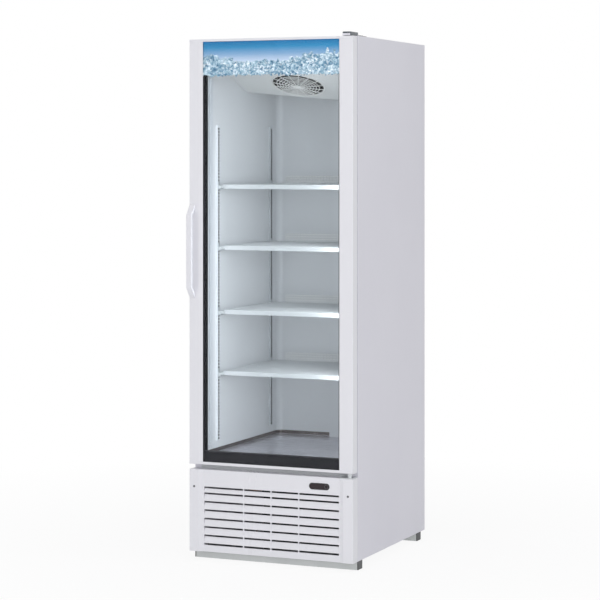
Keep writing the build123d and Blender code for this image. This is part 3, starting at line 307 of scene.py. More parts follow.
coats = {
    "skinEnamel": dict(colour=(0.785, 0.775, 0.84), darker=(0.755, 0.745, 0.81), rough=(0.34, 0.44),
                       drift=0.5, grain=650.0, depth=0.07),
    "frameEnamel": dict(colour=(0.835, 0.83, 0.87), darker=(0.805, 0.80, 0.845), rough=(0.26, 0.36),
                        drift=0.4, grain=500.0, depth=0.04, coat=0.15),
    "linerWhite": dict(colour=(0.655, 0.67, 0.685), darker=(0.625, 0.64, 0.66), rough=(0.30, 0.42),
                       drift=0.5, grain=420.0, depth=0.05),
    "housingWhite": dict(colour=(0.68, 0.69, 0.68), darker=(0.64, 0.65, 0.645), rough=(0.36, 0.46),
                         drift=0.4, grain=420.0, depth=0.05),
    "wireCoat": dict(colour=(0.60, 0.625, 0.635), darker=(0.55, 0.575, 0.585), rough=(0.28, 0.4),
                     drift=0.5, grain=300.0, depth=0.05, coat=0.1),
    "guardWire": dict(colour=(0.84, 0.84, 0.82), darker=(0.78, 0.78, 0.76), rough=(0.3, 0.42),
                      drift=0.5, grain=300.0, depth=0.05, coat=0.1),
    # Painted shade: a near-black coat without specular, for the sheets inside the slotted channels
    "slotPaintedShade": dict(colour=(0.012, 0.013, 0.015), darker=(0.007, 0.008, 0.009), rough=(0.6, 0.75),
                      specular=0.0, drift=0.6, grain=420.0, depth=0.08),
    "zincSheet": dict(colour=(0.56, 0.58, 0.58), darker=(0.42, 0.44, 0.45), rough=(0.36, 0.52), metal=0.85,
                      driftScale=9.0, fineScale=55.0, drift=0.8, grain=260.0, depth=0.05),
    "railCoat": dict(colour=(0.62, 0.64, 0.64), darker=(0.55, 0.57, 0.57), rough=(0.38, 0.5), metal=0.5,
                     driftScale=6.0, drift=0.7, grain=380.0, depth=0.06),
    "darkPlastic": dict(colour=(0.075, 0.078, 0.085), darker=(0.05, 0.052, 0.056), rough=(0.42, 0.56),
                        drift=0.6, grain=900.0, depth=0.16),
    "capPlastic": dict(colour=(0.070, 0.085, 0.102), darker=(0.055, 0.066, 0.08), rough=(0.22, 0.32),
                       drift=0.5, grain=700.0, depth=0.03, coat=0.2),
    "railCapPlastic": dict(colour=(0.11, 0.112, 0.115), darker=(0.07, 0.072, 0.075), rough=(0.5, 0.62),
                           drift=0.6, grain=800.0, depth=0.16),
    "fanBlack": dict(colour=(0.035, 0.034, 0.033), darker=(0.022, 0.021, 0.020), rough=(0.4, 0.55),
                     specular=0.3, drift=0.6, grain=700.0, depth=0.12),
    "spacerBlack": dict(colour=(0.016, 0.016, 0.020), darker=(0.009, 0.009, 0.012), rough=(0.35, 0.5),
                        specular=0.1, drift=0.6, grain=600.0, depth=0.1),
    "displayWindow": dict(colour=(0.034, 0.022, 0.026), darker=(0.018, 0.014, 0.017), rough=(0.12, 0.22),
                          specular=0.25, driftScale=18.0, fineScale=160.0, drift=0.8, sheenScale=30.0,
                          coat=0.12, coatRough=0.05),
    "sealGrey": dict(colour=(0.80, 0.815, 0.86), darker=(0.74, 0.755, 0.80), rough=(0.55, 0.68),
                     drift=0.6, grain=500.0, depth=0.1),
    "bushPlastic": dict(colour=(0.42, 0.42, 0.44), darker=(0.34, 0.34, 0.36), rough=(0.45, 0.6),
                        drift=0.6, grain=500.0, depth=0.1),
    "motorEnamel": dict(colour=(0.26, 0.27, 0.28), darker=(0.18, 0.19, 0.20), rough=(0.35, 0.5),
                        drift=0.6, grain=500.0, depth=0.12),
    "compressorEnamel": dict(colour=(0.03, 0.03, 0.032), darker=(0.018, 0.018, 0.02), rough=(0.2, 0.34),
                             drift=0.6, grain=420.0, depth=0.12, coat=0.3),
    "grommetRubber": dict(colour=(0.03, 0.03, 0.03), darker=(0.02, 0.02, 0.02), rough=(0.7, 0.85),
                          drift=0.6, grain=700.0, depth=0.2),
    "foamCream": dict(colour=(0.82, 0.74, 0.52), darker=(0.70, 0.60, 0.38), rough=(0.8, 0.95),
                      drift=0.8, fineScale=320.0, grain=500.0, depth=0.5),
}
metals = {
    "zincBright": dict(colour=(0.60, 0.62, 0.64), darker=(0.46, 0.48, 0.50), rough=(0.24, 0.38),
                       along=30.0, across=300.0, depth=0.06),
    "darkSteel": dict(colour=(0.20, 0.20, 0.21), darker=(0.12, 0.12, 0.13), rough=(0.28, 0.42),
                      along=60.0, across=240.0, depth=0.06),
    # Painted shade: the evaporator's fins are coloured far darker than bright aluminium, for the shade inside
    # the housing
    "finAluminiumPaintedShade": dict(colour=(0.42, 0.42, 0.41), darker=(0.30, 0.30, 0.29), rough=(0.3, 0.45),
                         along=400.0, across=30.0, depth=0.08),
    "finBlack": dict(colour=(0.045, 0.045, 0.047), darker=(0.025, 0.025, 0.027), rough=(0.45, 0.6), metal=0.0,
                     along=400.0, across=30.0, depth=0.08),
    "drawnCopper": dict(colour=(0.46, 0.24, 0.155), darker=(0.30, 0.15, 0.095), rough=(0.22, 0.4),
                        along=20.0, across=200.0, depth=0.06),
}
finishes = {name: coatFinish(name, finish) for name, finish in coats.items()}
finishes.update({name: metalFinish(name, finish) for name, finish in metals.items()})
print("plain finishes made:", len(finishes))


# Clear, glowing and printed finishes, and those that change over one piece

def makeGlass():
    # Lamps light the inside through the panes, which cast a clear shadow
    glassFacts = dict(colour=(0.955, 0.972, 0.985), darker=(0.945, 0.965, 0.98), driftScale=2.0,
                      fineScale=14.0, drift=0.5, rough=(0.0, 0.03), sheenScale=4.0, index=1.2)
    material, tree, shader = blankFinish("clearGlass", {
        "Transmission Weight": 1.0, "IOR": glassFacts["index"], "Metallic": 0.0,
    })
    feedAll(tree, shader, {"Base Color": driftOf(tree, glassFacts), "Roughness": sheenOf(tree, glassFacts)})
    path = put(tree, "ShaderNodeLightPath")
    clear = put(tree, "ShaderNodeBsdfTransparent", {"Color": (*glassFacts["colour"], 1)})
    mixShaders(tree, path.outputs["Is Shadow Ray"], shader.outputs["BSDF"], clear.outputs["BSDF"],
               "Material Output")
    return material


def makeLampDiffuser():
    lampFacts = dict(colour=(0.57, 0.595, 0.625), darker=(0.54, 0.565, 0.595), driftScale=5.0,
                     fineScale=60.0, drift=0.5, rough=(0.32, 0.45), sheenScale=12.0, glow=0.04)
    material, tree, shader = blankFinish("lampDiffuser", {"Emission Strength": lampFacts["glow"]})
    drift = driftOf(tree, lampFacts)
    feedAll(tree, shader, {
        "Base Color": drift, "Emission Color": drift, "Roughness": sheenOf(tree, lampFacts),
    })
    return material


def makePanSteel():
    # Painted shade: the pan's bent lips are coloured darker and warmer than its flat floor
    panFacts = {
        "metal": 0.85, "lipFrom": 0.0014, "lipTo": 0.0024,
        "lines": dict(rough=(0.20, 0.34), along=2.0, across=700.0, depth=0.03),
        "flat": dict(colour=(0.70, 0.68, 0.73), darker=(0.63, 0.615, 0.66), driftScale=4.0, fineScale=60.0,
                     drift=0.6),
        "bent": dict(colour=(0.185, 0.160, 0.150), darker=(0.145, 0.125, 0.12), driftScale=9.0,
                     fineScale=60.0, drift=0.6),
    }
    low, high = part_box("floor_pan")
    material, tree, shader = blankFinish("panSteel", {"Metallic": panFacts["metal"]})
    x, y, z = axesOf(tree, placeOf(tree))
    lip = spread(tree, z, low[2] + panFacts["lipFrom"], low[2] + panFacts["lipTo"])
    lines = linesOf(tree, panFacts["lines"])
    # The lip mask mixes in the darker, warmer colour: painted shade
    colour = mixColour(tree, lip, driftOf(tree, panFacts["flat"]), driftOf(tree, panFacts["bent"]))
    feedAll(tree, shader, {
        "Base Color": colour, "Roughness": lines["Roughness"], "Normal": lines["Normal"],
    })
    return material


def makeChannelSteel():
    # Coated steel channels with painted shade: light near the door, darker towards the back
    channelFacts = {
        "metal": 0.25, "margin": 0.02, "sheen": dict(rough=(0.3, 0.42), sheenScale=6.0),
        "near": dict(colour=(0.76, 0.78, 0.80), darker=(0.70, 0.72, 0.74), driftScale=3.0, fineScale=90.0,
                     drift=0.6),
        "far": dict(colour=(0.52, 0.54, 0.56), darker=(0.46, 0.48, 0.50), driftScale=3.0, fineScale=90.0,
                    drift=0.6),
    }
    low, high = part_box("pilasters")
    material, tree, shader = blankFinish("channelSteelPaintedShade", {"Metallic": channelFacts["metal"]})
    x, y, z = axesOf(tree, placeOf(tree))
    depth = spread(tree, y, low[1] + channelFacts["margin"], high[1] - channelFacts["margin"])
    # Painted shade: the near tone turns into the darker far tone towards the back
    colour = mixColour(tree, depth, driftOf(tree, channelFacts["near"]), driftOf(tree, channelFacts["far"]))
    feedAll(tree, shader, {"Base Color": colour, "Roughness": sheenOf(tree, channelFacts["sheen"])})
    return material


printFacts = {
    "specular": 0.15, "sheen": dict(rough=(0.25, 0.35), sheenScale=8.0), "raggedEdge": 0.05,
    "sky": [
        (0.30, (0.80, 0.83, 0.87)), (0.46, (0.49, 0.59, 0.73)), (0.62, (0.225, 0.37, 0.565)),
        (0.80, (0.030, 0.245, 0.470)), (0.97, (0.006, 0.165, 0.395)),
    ],
    "hazeScale": 9.0, "hazeShare": 0.04, "hazeColour": (0.34, 0.55, 0.74),
    "warpScale": 38.0, "warpX": 0.012, "warpZ": -0.010,
    "heapTop": 0.44, "heapWave": 0.11, "wavePhase": 0.35, "heapRough": 0.10,
    "shards": dict(scale=86.0, pull=52.0, edge=0.0016),
    "crumbs": dict(scale=185.0, pull=104.0, edge=0.0009),
    "shardColours": [
        (0.0, (0.012, 0.05, 0.12)), (0.26, (0.10, 0.22, 0.34)), (0.50, (0.31, 0.44, 0.53)),
        (0.72, (0.62, 0.73, 0.79)), (0.90, (0.97, 0.99, 1.0)),
    ],
    "crumbColours": [
        (0.0, (0.008, 0.045, 0.11)), (0.28, (0.10, 0.24, 0.36)), (0.54, (0.33, 0.50, 0.60)),
        (0.78, (0.96, 0.98, 1.0)),
    ],
    "crumbShare": 0.5, "blotchScale": 24.0, "blotchFrom": 0.45, "blotchTo": 0.62, "blotchShare": 0.45,
    "blotchColour": (0.48, 0.66, 0.76),
}


def shardsOf(tree, place, scale, pull, edge):
    # Every cell gets its own tone and slanted shade; its border is dark, its upper side catches light
    middleX, middleZ, toneShare, ground = 0.5, 0.35, 0.70, 0.15
    values = {"Vector": place, "Scale": scale, "Randomness": 1.0}
    cells = put(tree, "ShaderNodeTexVoronoi", values, voronoi_dimensions="2D")
    rims = put(tree, "ShaderNodeTexVoronoi", values, voronoi_dimensions="2D", feature="DISTANCE_TO_EDGE")
    placeX, placeZ = axesOf(tree, place)[:2]
    cellX, cellZ = axesOf(tree, cells.outputs["Position"])[:2]
    tone, leanX, leanZ = axesOf(tree, cells.outputs["Color"])
    slantX = multiply(tree, subtract(tree, placeX, cellX), subtract(tree, leanX, middleX))
    slantZ = multiply(tree, subtract(tree, placeZ, cellZ), subtract(tree, leanZ, middleZ))
    slant = multiply(tree, add(tree, slantX, slantZ), pull)
    shade = mathNode(tree, "MULTIPLY_ADD", tone, toneShare, add(tree, slant, ground))
    border = spread(tree, rims.outputs["Distance"], 0.0, edge)
    lit = mathNode(tree, "MULTIPLY", shade, border, clamp=True)
    return {"x": cellX, "z": cellZ, "tone": tone, "lean": leanX, "lit": lit}


def makeHeaderPrint():
    # Printed strip: a blue sky above a heap of broken ice
    facts = printFacts
    low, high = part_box("header_panel")
    material, tree, shader = blankFinish("headerPrint", {"Specular IOR Level": facts["specular"]})
    x, y, z = axesOf(tree, placeOf(tree))
    flat = vectorOf(tree, x, z)

    def across(value):
        return divide(tree, subtract(tree, value, low[0]), high[0] - low[0])

    def upward(value):
        return divide(tree, subtract(tree, value, low[2]), high[2] - low[2])

    sky = rampNode(tree, upward(z), facts["sky"])
    haze = multiply(tree, noiseOf(tree, flat, facts["hazeScale"], detail=4.0), facts["hazeShare"])
    sky = mixColour(tree, haze, sky, facts["hazeColour"])

    warp = noiseOf(tree, flat, facts["warpScale"], detail=3.0)
    bent = vectorOf(tree, mathNode(tree, "MULTIPLY_ADD", warp, facts["warpX"], x),
                    mathNode(tree, "MULTIPLY_ADD", warp, facts["warpZ"], z))
    shards = shardsOf(tree, bent, **facts["shards"])
    crumbs = shardsOf(tree, bent, **facts["crumbs"])
    turns = mathNode(tree, "MULTIPLY_ADD", across(shards["x"]), 2 * pi, facts["wavePhase"])
    wave = mathNode(tree, "COSINE", turns)
    rim = mathNode(tree, "MULTIPLY_ADD", wave, facts["heapWave"], facts["heapTop"])
    rim = mathNode(tree, "MULTIPLY_ADD", shards["lean"], facts["heapRough"], rim)
    heap = mathNode(tree, "LESS_THAN", upward(shards["z"]), rim)

    ice = mixColour(tree, facts["crumbShare"], rampNode(tree, shards["lit"], facts["shardColours"]),
                    rampNode(tree, crumbs["lit"], facts["crumbColours"]))
    patches = noiseOf(tree, flat, facts["blotchScale"], detail=2.0)
    blotch = spread(tree, patches, facts["blotchFrom"], facts["blotchTo"])
    ice = mixColour(tree, multiply(tree, blotch, facts["blotchShare"]), ice, facts["blotchColour"],
                    "MULTIPLY")

    ragged = multiply(tree, crumbs["tone"], facts["raggedEdge"])
    feedAll(tree, shader, {
        "Base Color": mixColour(tree, heap, sky, ice), "Roughness": sheenOf(tree, facts["sheen"]),
        "Alpha": mathNode(tree, "GREATER_THAN", upward(crumbs["z"]), ragged),
    })
    return material


finishes["clearGlass"] = makeGlass()
finishes["lampDiffuser"] = makeLampDiffuser()
finishes["headerPrint"] = makeHeaderPrint()
finishes["panSteel"] = makePanSteel()
finishes["channelSteelPaintedShade"] = makeChannelSteel()

nodeFinish = {
    "skinEnamel": ["side_panel_left", "side_panel_right", "top_panel"],
    "frameEnamel": ["door_stile_left", "door_stile_right", "door_rail_top", "door_rail_bottom",
                    "door_handle", "grille_side_left", "grille_side_right", "front_grille"],
    "linerWhite": ["inner_liner", "breaker_frame", "rear_line_cover"],
    "housingWhite": ["evaporator_cover"],
    "zincSheet": ["back_panel", "compartment_deck", "base_tray", "rear_grille", "condenser_shroud",
                  "control_box"],
    "railCoat": ["front_rail", "rear_rail"],
    "foamCream": ["insulation_foam"],
    "panSteel": ["floor_pan"],
    "channelSteelPaintedShade": ["pilasters"],
    "zincBright": ["shelf_clips", "bottom_hinge_bracket", "handle_screws"],
    "darkSteel": ["top_hinge_bracket", "hinge_screws", "grille_screws"],
    "wireCoat": ["shelf_1", "shelf_2", "shelf_3", "shelf_4", "evaporator_fan_guard"],
    "darkPlastic": ["cord_gland", "drain_tube"],
    "fanBlack": ["evaporator_fan_blade", "condenser_fan_blade", "evaporator_fan_motor"],
    "capPlastic": ["top_hinge_cap"],
    "railCapPlastic": ["rail_end_caps"],
    "displayWindow": ["display_lens"],
    "clearGlass": ["front_glass", "rear_glass"],
    "headerPrint": ["header_panel"],
    "spacerBlack": ["glass_spacer"],
    "sealGrey": ["door_gasket"],
    "bushPlastic": ["hinge_bushes", "condensate_pan"],
    "finAluminiumPaintedShade": ["evaporator_coil"],
    "finBlack": ["condenser_coil"],
    "motorEnamel": ["condenser_fan_motor"],
    "compressorEnamel": ["compressor"],
    "grommetRubber": ["compressor_grommets"],
    "drawnCopper": ["filter_drier", "refrigerant_lines"],
    "lampDiffuser": ["led_lamps"],
}
finishOf = {name: finish for finish, names in nodeFinish.items() for name in names}
for name, finish in finishOf.items():
    for slotIndex in range(len(nodes[name].material_slots)):
        nodes[name].material_slots[slotIndex].material = finishes[finish]
print("CAD nodes finished:", len(finishOf))

bodyOf = {name: body for body, names in frame["record"]["behaviour"]["bodies"].items() for name in names}


# Pieces: how a mesh becomes one, and how outlines become meshes

def usePiece(name, mesh, finish, body, hides=(), sharpAngle=32):
    piece = bpy.data.objects.new(name, mesh)
    scene.collection.objects.link(piece)
    mesh.shade_smooth()
    mesh.set_sharp_from_angle(angle=radians(sharpAngle))
    mesh.materials.clear()
    mesh.materials.append(finishes[finish])
    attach(piece, body)
    for node in hides:
        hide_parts(node)
    return piece


def meshFrom(build, name):
    bmesh.ops.recalc_face_normals(build, faces=build.faces)
    mesh = bpy.data.meshes.new(name)
    build.to_mesh(mesh)
    build.free()
    return mesh


def sweepOutline(build, outline, travel):
    # A closed outline moved along a vector, with both ends closed
    near = [build.verts.new(point) for point in outline]
    far = [build.verts.new(Vector(point) + Vector(travel)) for point in outline]
    count = len(outline)
    for index in range(count):
        after = (index + 1) % count
        build.faces.new((near[index], near[after], far[after], far[index]))
    build.faces.new(near[::-1])
    build.faces.new(far)


def roundedOutline(low, high, radius, steps=4):
    # A rectangle with round corners, as points in its own plane
    points = []
    right, left, top, foot = high[0] - radius, low[0] + radius, high[1] - radius, low[1] + radius
    for turn, (centreU, centreV) in enumerate(((right, top), (left, top), (left, foot), (right, foot))):
        for step in range(steps + 1):
            angle = pi / 2 * (turn + step / steps)
            points.append((centreU + radius * cos(angle), centreV + radius * sin(angle)))
    return points


def circlePoints(radius, count):
    turns = [2 * pi * step / count for step in range(count)]
    return [(radius * cos(turn), radius * sin(turn)) for turn in turns]


def bridgeRings(build, rings):
    # Every closed ring of points is joined to the next one, and the last to the first
    rings = [[build.verts.new(point) for point in ring] for ring in rings]
    for ring, following in zip(rings, rings[1:] + rings[:1]):
        for index in range(len(ring)):
            after = (index + 1) % len(ring)
            build.faces.new((ring[index], ring[after], following[after], following[index]))


def softenEdges(node, width):
    # A merged copy of a CAD node with a small radius on its edges
    softFacts = {"merge": 0.00001, "flat": 0.5, "segments": 2, "edgeAngle": 35}
    mesh = nodes[node].data.copy()
    build = bmesh.new()
    build.from_mesh(mesh)
    bmesh.ops.remove_doubles(build, verts=build.verts, dist=softFacts["merge"])
    bmesh.ops.dissolve_limit(build, angle_limit=radians(softFacts["flat"]), verts=build.verts,
                             edges=build.edges)
    build.to_mesh(mesh)
    build.free()
    piece = usePiece(node + "_soft", mesh, finishOf[node], bodyOf[node], [node])
    bevel = piece.modifiers.new("softEdge", "BEVEL")
    bevel.width = width
    bevel.segments = softFacts["segments"]
    bevel.limit_method = "ANGLE"
    bevel.angle_limit = radians(softFacts["edgeAngle"])
    bevel.harden_normals = True


# Patterns by geometry nodes

def growPattern(name, tree, values, places=()):
    seed = bpy.data.meshes.new(name + "Seed")
    seed.from_pydata(list(places), [], [])
    holder = bpy.data.objects.new(name + "Seed", seed)
    scene.collection.objects.link(holder)
    modifier = holder.modifiers.new("pattern", "NODES")
    modifier.node_group = tree
    for item in tree.interface.items_tree:
        if item.in_out == "INPUT" and item.name in values:
            modifier[item.identifier] = values[item.name]
    graph = bpy.context.evaluated_depsgraph_get()
    mesh = bpy.data.meshes.new_from_object(holder.evaluated_get(graph), depsgraph=graph)
    holder.modifiers.remove(modifier)
    bpy.data.objects.remove(holder)
    mesh.name = name
    return mesh


def newPattern(name, inputs):
    return newGroup(name, inputs, {"Geometry": "Geometry"}, "GeometryNodeTree")


def wireOn(tree, curve, radius, sides=8):
    section = put(tree, "GeometryNodeCurvePrimitiveCircle", {"Resolution": sides, "Radius": radius})
    return put(tree, "GeometryNodeCurveToMesh", {
        "Curve": curve, "Profile Curve": section.outputs["Curve"], "Fill Caps": True,
    }).outputs["Mesh"]


def wireBetween(tree, start, end, radius, sides=8):
    line = put(tree, "GeometryNodeCurvePrimitiveLine", {"Start": start, "End": end})
    return wireOn(tree, line.outputs["Curve"], radius, sides)


def rowPoints(tree, count, start, step):
    return put(tree, "GeometryNodeMeshLine", {
        "Count": count, "Start Location": start, "Offset": step,
    }, mode="OFFSET").outputs["Mesh"]


def rowOf(tree, shape, count, start, step):
    return put(tree, "GeometryNodeInstanceOnPoints", {
        "Points": rowPoints(tree, count, start, step), "Instance": shape,
    }).outputs["Instances"]


def stepOf(tree, length, count):
    return divide(tree, length, subtract(tree, count, 1.0))


def lifted(tree, shape, height):
    return put(tree, "GeometryNodeTransform", {
        "Geometry": shape, "Translation": vectorOf(tree, z=height),
    }).outputs["Geometry"]


def turnOf(tree, angle):
    return put(tree, "FunctionNodeEulerToRotation", {"Euler": vectorOf(tree, z=angle)}).outputs["Rotation"]


def realized(tree, shape):
    return put(tree, "GeometryNodeRealizeInstances", {"Geometry": shape}).outputs["Geometry"]


def finishPattern(tree, shapes, finish, target):
    gather = put(tree, "GeometryNodeJoinGeometry", {"Geometry": shapes})
    coat = put(tree, "GeometryNodeSetMaterial", {
        "Geometry": realized(tree, gather.outputs["Geometry"]), "Material": finish,
    })
    feed(tree, target, coat.outputs["Geometry"])


# Wire shelves with a front lip, two runners and a guard at the back

shelfFacts = {
    "count": 4, "lipHeight": 0.0165, "lipThick": 0.003, "lipRise": 0.0004, "lipRound": 0.0013,
    "runnerWidth": 0.008, "runnerHeight": 0.011, "runnerRound": 0.0016, "net": 0.003,
    "frontSetBack": 0.041, "wireSetBack": 0.001, "rodSetBack": 0.012, "guardInset": 0.042,
}
shelfWires = {"Wires": 45, "Wire Radius": 0.0013, "Rods": 6, "Rod Radius": 0.0024}
rearGuardWires = {"Wires": 37, "Wire Radius": 0.0013, "Rails": 4, "Height": 0.030}


def makeShelfPattern():
    tree, given, result = newPattern("wireShelf", {
        **shelfWires, "Half Width": 0.27, "Front": -0.2, "Back": 0.3, "Top": 0.7, "Finish": "Material",
    })
    wire, rod = given["Wire Radius"], given["Rod Radius"]
    front, back, half = given["Front"], given["Back"], given["Half Width"]
    topWire = subtract(tree, given["Top"], wire)
    underWire = subtract(tree, subtract(tree, topWire, wire), rod)
    innerHalf = mathNode(tree, "MULTIPLY_ADD", rod, -2.0, half)
    left = multiply(tree, innerHalf, -1.0)
    ends = vectorOf(tree, 0.0, front, topWire), vectorOf(tree, 0.0, back, topWire)
    wireStep = stepOf(tree, multiply(tree, innerHalf, 2.0), given["Wires"])
    wires = rowOf(tree, wireBetween(tree, *ends, wire), given["Wires"], vectorOf(tree, left),
                  vectorOf(tree, wireStep))
    cross = wireBetween(tree, vectorOf(tree, left, 0.0, underWire),
                        vectorOf(tree, innerHalf, 0.0, underWire), rod)
    firstRod = add(tree, front, shelfFacts["rodSetBack"])
    rodStep = stepOf(tree, subtract(tree, subtract(tree, back, firstRod), rod), given["Rods"])
    rods = rowOf(tree, cross, given["Rods"], vectorOf(tree, 0.0, firstRod), vectorOf(tree, 0.0, rodStep))
    edge = subtract(tree, half, rod)
    edges = rowOf(tree, wireBetween(tree, *ends, rod), 2, vectorOf(tree, multiply(tree, edge, -1.0)),
                  vectorOf(tree, multiply(tree, edge, 2.0)))
    finishPattern(tree, [wires, rods, edges], given["Finish"], result["Geometry"])
    return tree


def makeRearGuardPattern():
    tree, given, result = newPattern("rearGuard", {
        **rearGuardWires, "Half Width": 0.23, "Back": 0.3, "Foot": 0.7, "Finish": "Material",
    })
    wire, back, foot, half = given["Wire Radius"], given["Back"], given["Foot"], given["Half Width"]
    tip = add(tree, foot, given["Height"])
    left = multiply(tree, half, -1.0)
    post = wireBetween(tree, vectorOf(tree, 0.0, back, foot), vectorOf(tree, 0.0, back, tip), wire)
    postStep = stepOf(tree, multiply(tree, half, 2.0), given["Wires"])
    posts = rowOf(tree, post, given["Wires"], vectorOf(tree, left), vectorOf(tree, postStep))
    rail = wireBetween(tree, vectorOf(tree, left, back, foot), vectorOf(tree, half, back, foot), wire)
    railStep = stepOf(tree, given["Height"], given["Rails"])
    rails = rowOf(tree, rail, given["Rails"], vectorOf(tree), vectorOf(tree, z=railStep))
    finishPattern(tree, [posts, rails], given["Finish"], result["Geometry"])
    return tree


def makeShelf(number, pattern, guardPattern):
    facts = shelfFacts
    node = "shelf_%d" % number
    low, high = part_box(node)
    half = high[0]
    top = high[2] - rearGuardWires["Height"]
    front = low[1] + facts["frontSetBack"]
    guard = growPattern("rear_guard_%d" % number, guardPattern, {
        **rearGuardWires, "Half Width": half - facts["guardInset"],
        "Back": high[1] - rearGuardWires["Wire Radius"], "Foot": top - rearGuardWires["Wire Radius"],
        "Finish": finishes["guardWire"],
    })
    usePiece("rear_guard_%d" % number, guard, "guardWire", "cabinet", [], 40)

    wires = growPattern(node + "Wires", pattern, {
        **shelfWires, "Half Width": half, "Front": front + facts["wireSetBack"], "Back": high[1],
        "Top": top, "Finish": finishes["wireCoat"],
    })
    build = bmesh.new()
    lip = roundedOutline((front, top - facts["lipHeight"]),
                         (front + facts["lipThick"], top + facts["lipRise"]), facts["lipRound"])
    sweepOutline(build, [(-half, y, z) for y, z in lip], (2 * half, 0, 0))
    runnerTop = top - facts["net"]
    for side in (-1, 1):
        outer, inner = side * half, side * (half - facts["runnerWidth"])
        runner = roundedOutline((min(outer, inner), runnerTop - facts["runnerHeight"]),
                                (max(outer, inner), runnerTop), facts["runnerRound"])
        sweepOutline(build, [(x, low[1], z) for x, z in runner], (0, high[1] - low[1], 0))
    solid = meshFrom(build, node + "Solid")
    build = bmesh.new()
    build.from_mesh(wires)
    build.from_mesh(solid)
    joined = bpy.data.meshes.new(node + "Mesh")
    build.to_mesh(joined)
    build.free()
    usePiece("wire_" + node, joined, "wireCoat", "cabinet", [node], 40)


def makeShelves():
    pattern = makeShelfPattern()
    guardPattern = makeRearGuardPattern()
    for number in range(1, shelfFacts["count"] + 1):
        makeShelf(number, pattern, guardPattern)
    print("wire shelves made:", shelfFacts["count"])


makeShelves()


# Fan guard on the sloping face, with a dark collar that guides the air from the opening to the blades

fanGuardWires = {
    "Hub Radius": 0.016, "First Ring": 0.027, "Ring Step": 0.0118, "Rings": 6, "Rim Radius": 0.1058,
    "Wire Radius": 0.0015, "Rim Wire": 0.002, "Spokes": 16, "Crown": 0.007,
}
fanFacts = {
    "place": (-0.031, -0.031, 1.852), "tilt": 21.5, "gap": 0.002, "wireSides": 6, "ringPoints": 72,
    "rimPoints": 96, "spokeRise": 1.7, "hubPoints": 40, "hubDepth": 0.0026, "hubTaper": 0.9, "hubRise": 0.7,
}
collarFacts = {"radius": 0.1015, "wall": 0.0015, "top": -0.001, "foot": -0.03, "points": 72}


def makeFanGuardPattern():
    facts = fanFacts
    tree, given, result = newPattern("fanGuard", {**fanGuardWires, "Finish": "Material"})
    wire, rimRadius, crown = given["Wire Radius"], given["Rim Radius"], given["Crown"]
    order = put(tree, "GeometryNodeInputIndex").outputs["Index"]
    radius = mathNode(tree, "MULTIPLY_ADD", order, given["Ring Step"], given["First Ring"])
    inward = subtract(tree, 1.0, divide(tree, radius, rimRadius))
    stacked = put(tree, "GeometryNodeSetPosition", {
        "Geometry": rowPoints(tree, given["Rings"], vectorOf(tree), vectorOf(tree)),
        "Position": vectorOf(tree, z=multiply(tree, inward, crown)),
    })
    circle = put(tree, "GeometryNodeCurvePrimitiveCircle", {
        "Resolution": facts["ringPoints"], "Radius": 1.0,
    })
    spots = put(tree, "GeometryNodeInstanceOnPoints", {
        "Points": stacked.outputs["Geometry"], "Instance": circle.outputs["Curve"],
        "Scale": vectorOf(tree, radius, radius, radius),
    })
    rings = wireOn(tree, realized(tree, spots.outputs["Instances"]), wire, facts["wireSides"])
    rimCircle = put(tree, "GeometryNodeCurvePrimitiveCircle", {
        "Resolution": facts["rimPoints"], "Radius": rimRadius,
    })
    rim = wireOn(tree, rimCircle.outputs["Curve"], given["Rim Wire"])

    above = multiply(tree, wire, facts["spokeRise"])
    spoke = wireBetween(tree, vectorOf(tree, z=add(tree, above, crown)),
                        vectorOf(tree, rimRadius, 0.0, above), wire, facts["wireSides"])
    turn = divide(tree, multiply(tree, order, 2 * pi), given["Spokes"])
    spokes = put(tree, "GeometryNodeInstanceOnPoints", {
        "Points": rowPoints(tree, given["Spokes"], vectorOf(tree), vectorOf(tree)), "Instance": spoke,
        "Rotation": turnOf(tree, turn),
    })
    hub = put(tree, "GeometryNodeMeshCone", {
        "Vertices": facts["hubPoints"], "Depth": facts["hubDepth"], "Radius Top": given["Hub Radius"],
        "Radius Bottom": multiply(tree, given["Hub Radius"], facts["hubTaper"]),
    })
    raised = lifted(tree, hub.outputs["Mesh"], multiply(tree, crown, facts["hubRise"]))
    finishPattern(tree, [rings, rim, spokes.outputs["Instances"], raised], given["Finish"],
                  result["Geometry"])
    return tree


def makeFanGuard():
    mesh = growPattern("fanGuardWires", makeFanGuardPattern(), {
        **fanGuardWires, "Finish": finishes["guardWire"],
    })
    # The crowned side of the guard looks down and forward, out of the housing
    turned = Matrix.Rotation(radians(180 - fanFacts["tilt"]), 4, "X")
    seat = Matrix.Translation(Vector(fanFacts["place"])) @ turned
    mesh.transform(seat @ Matrix.Translation((0, 0, fanFacts["gap"])))
    usePiece("round_fan_guard", mesh, "guardWire", "cabinet", ["evaporator_fan_guard"], 40)

    facts = collarFacts
    outer, inner, top, foot = facts["radius"], facts["radius"] - facts["wall"], facts["top"], facts["foot"]
    rings = [[seat @ Vector((x, y, height)) for x, y in circlePoints(radius, facts["points"])]
             for radius, height in ((outer, top), (outer, foot), (inner, foot), (inner, top))]
    build = bmesh.new()
    bridgeRings(build, rings)
    usePiece("fan_collar", meshFrom(build, "fanCollar"), "fanBlack", "cabinet")
    print("fan guard made")


makeFanGuard()


# Door seal with folds

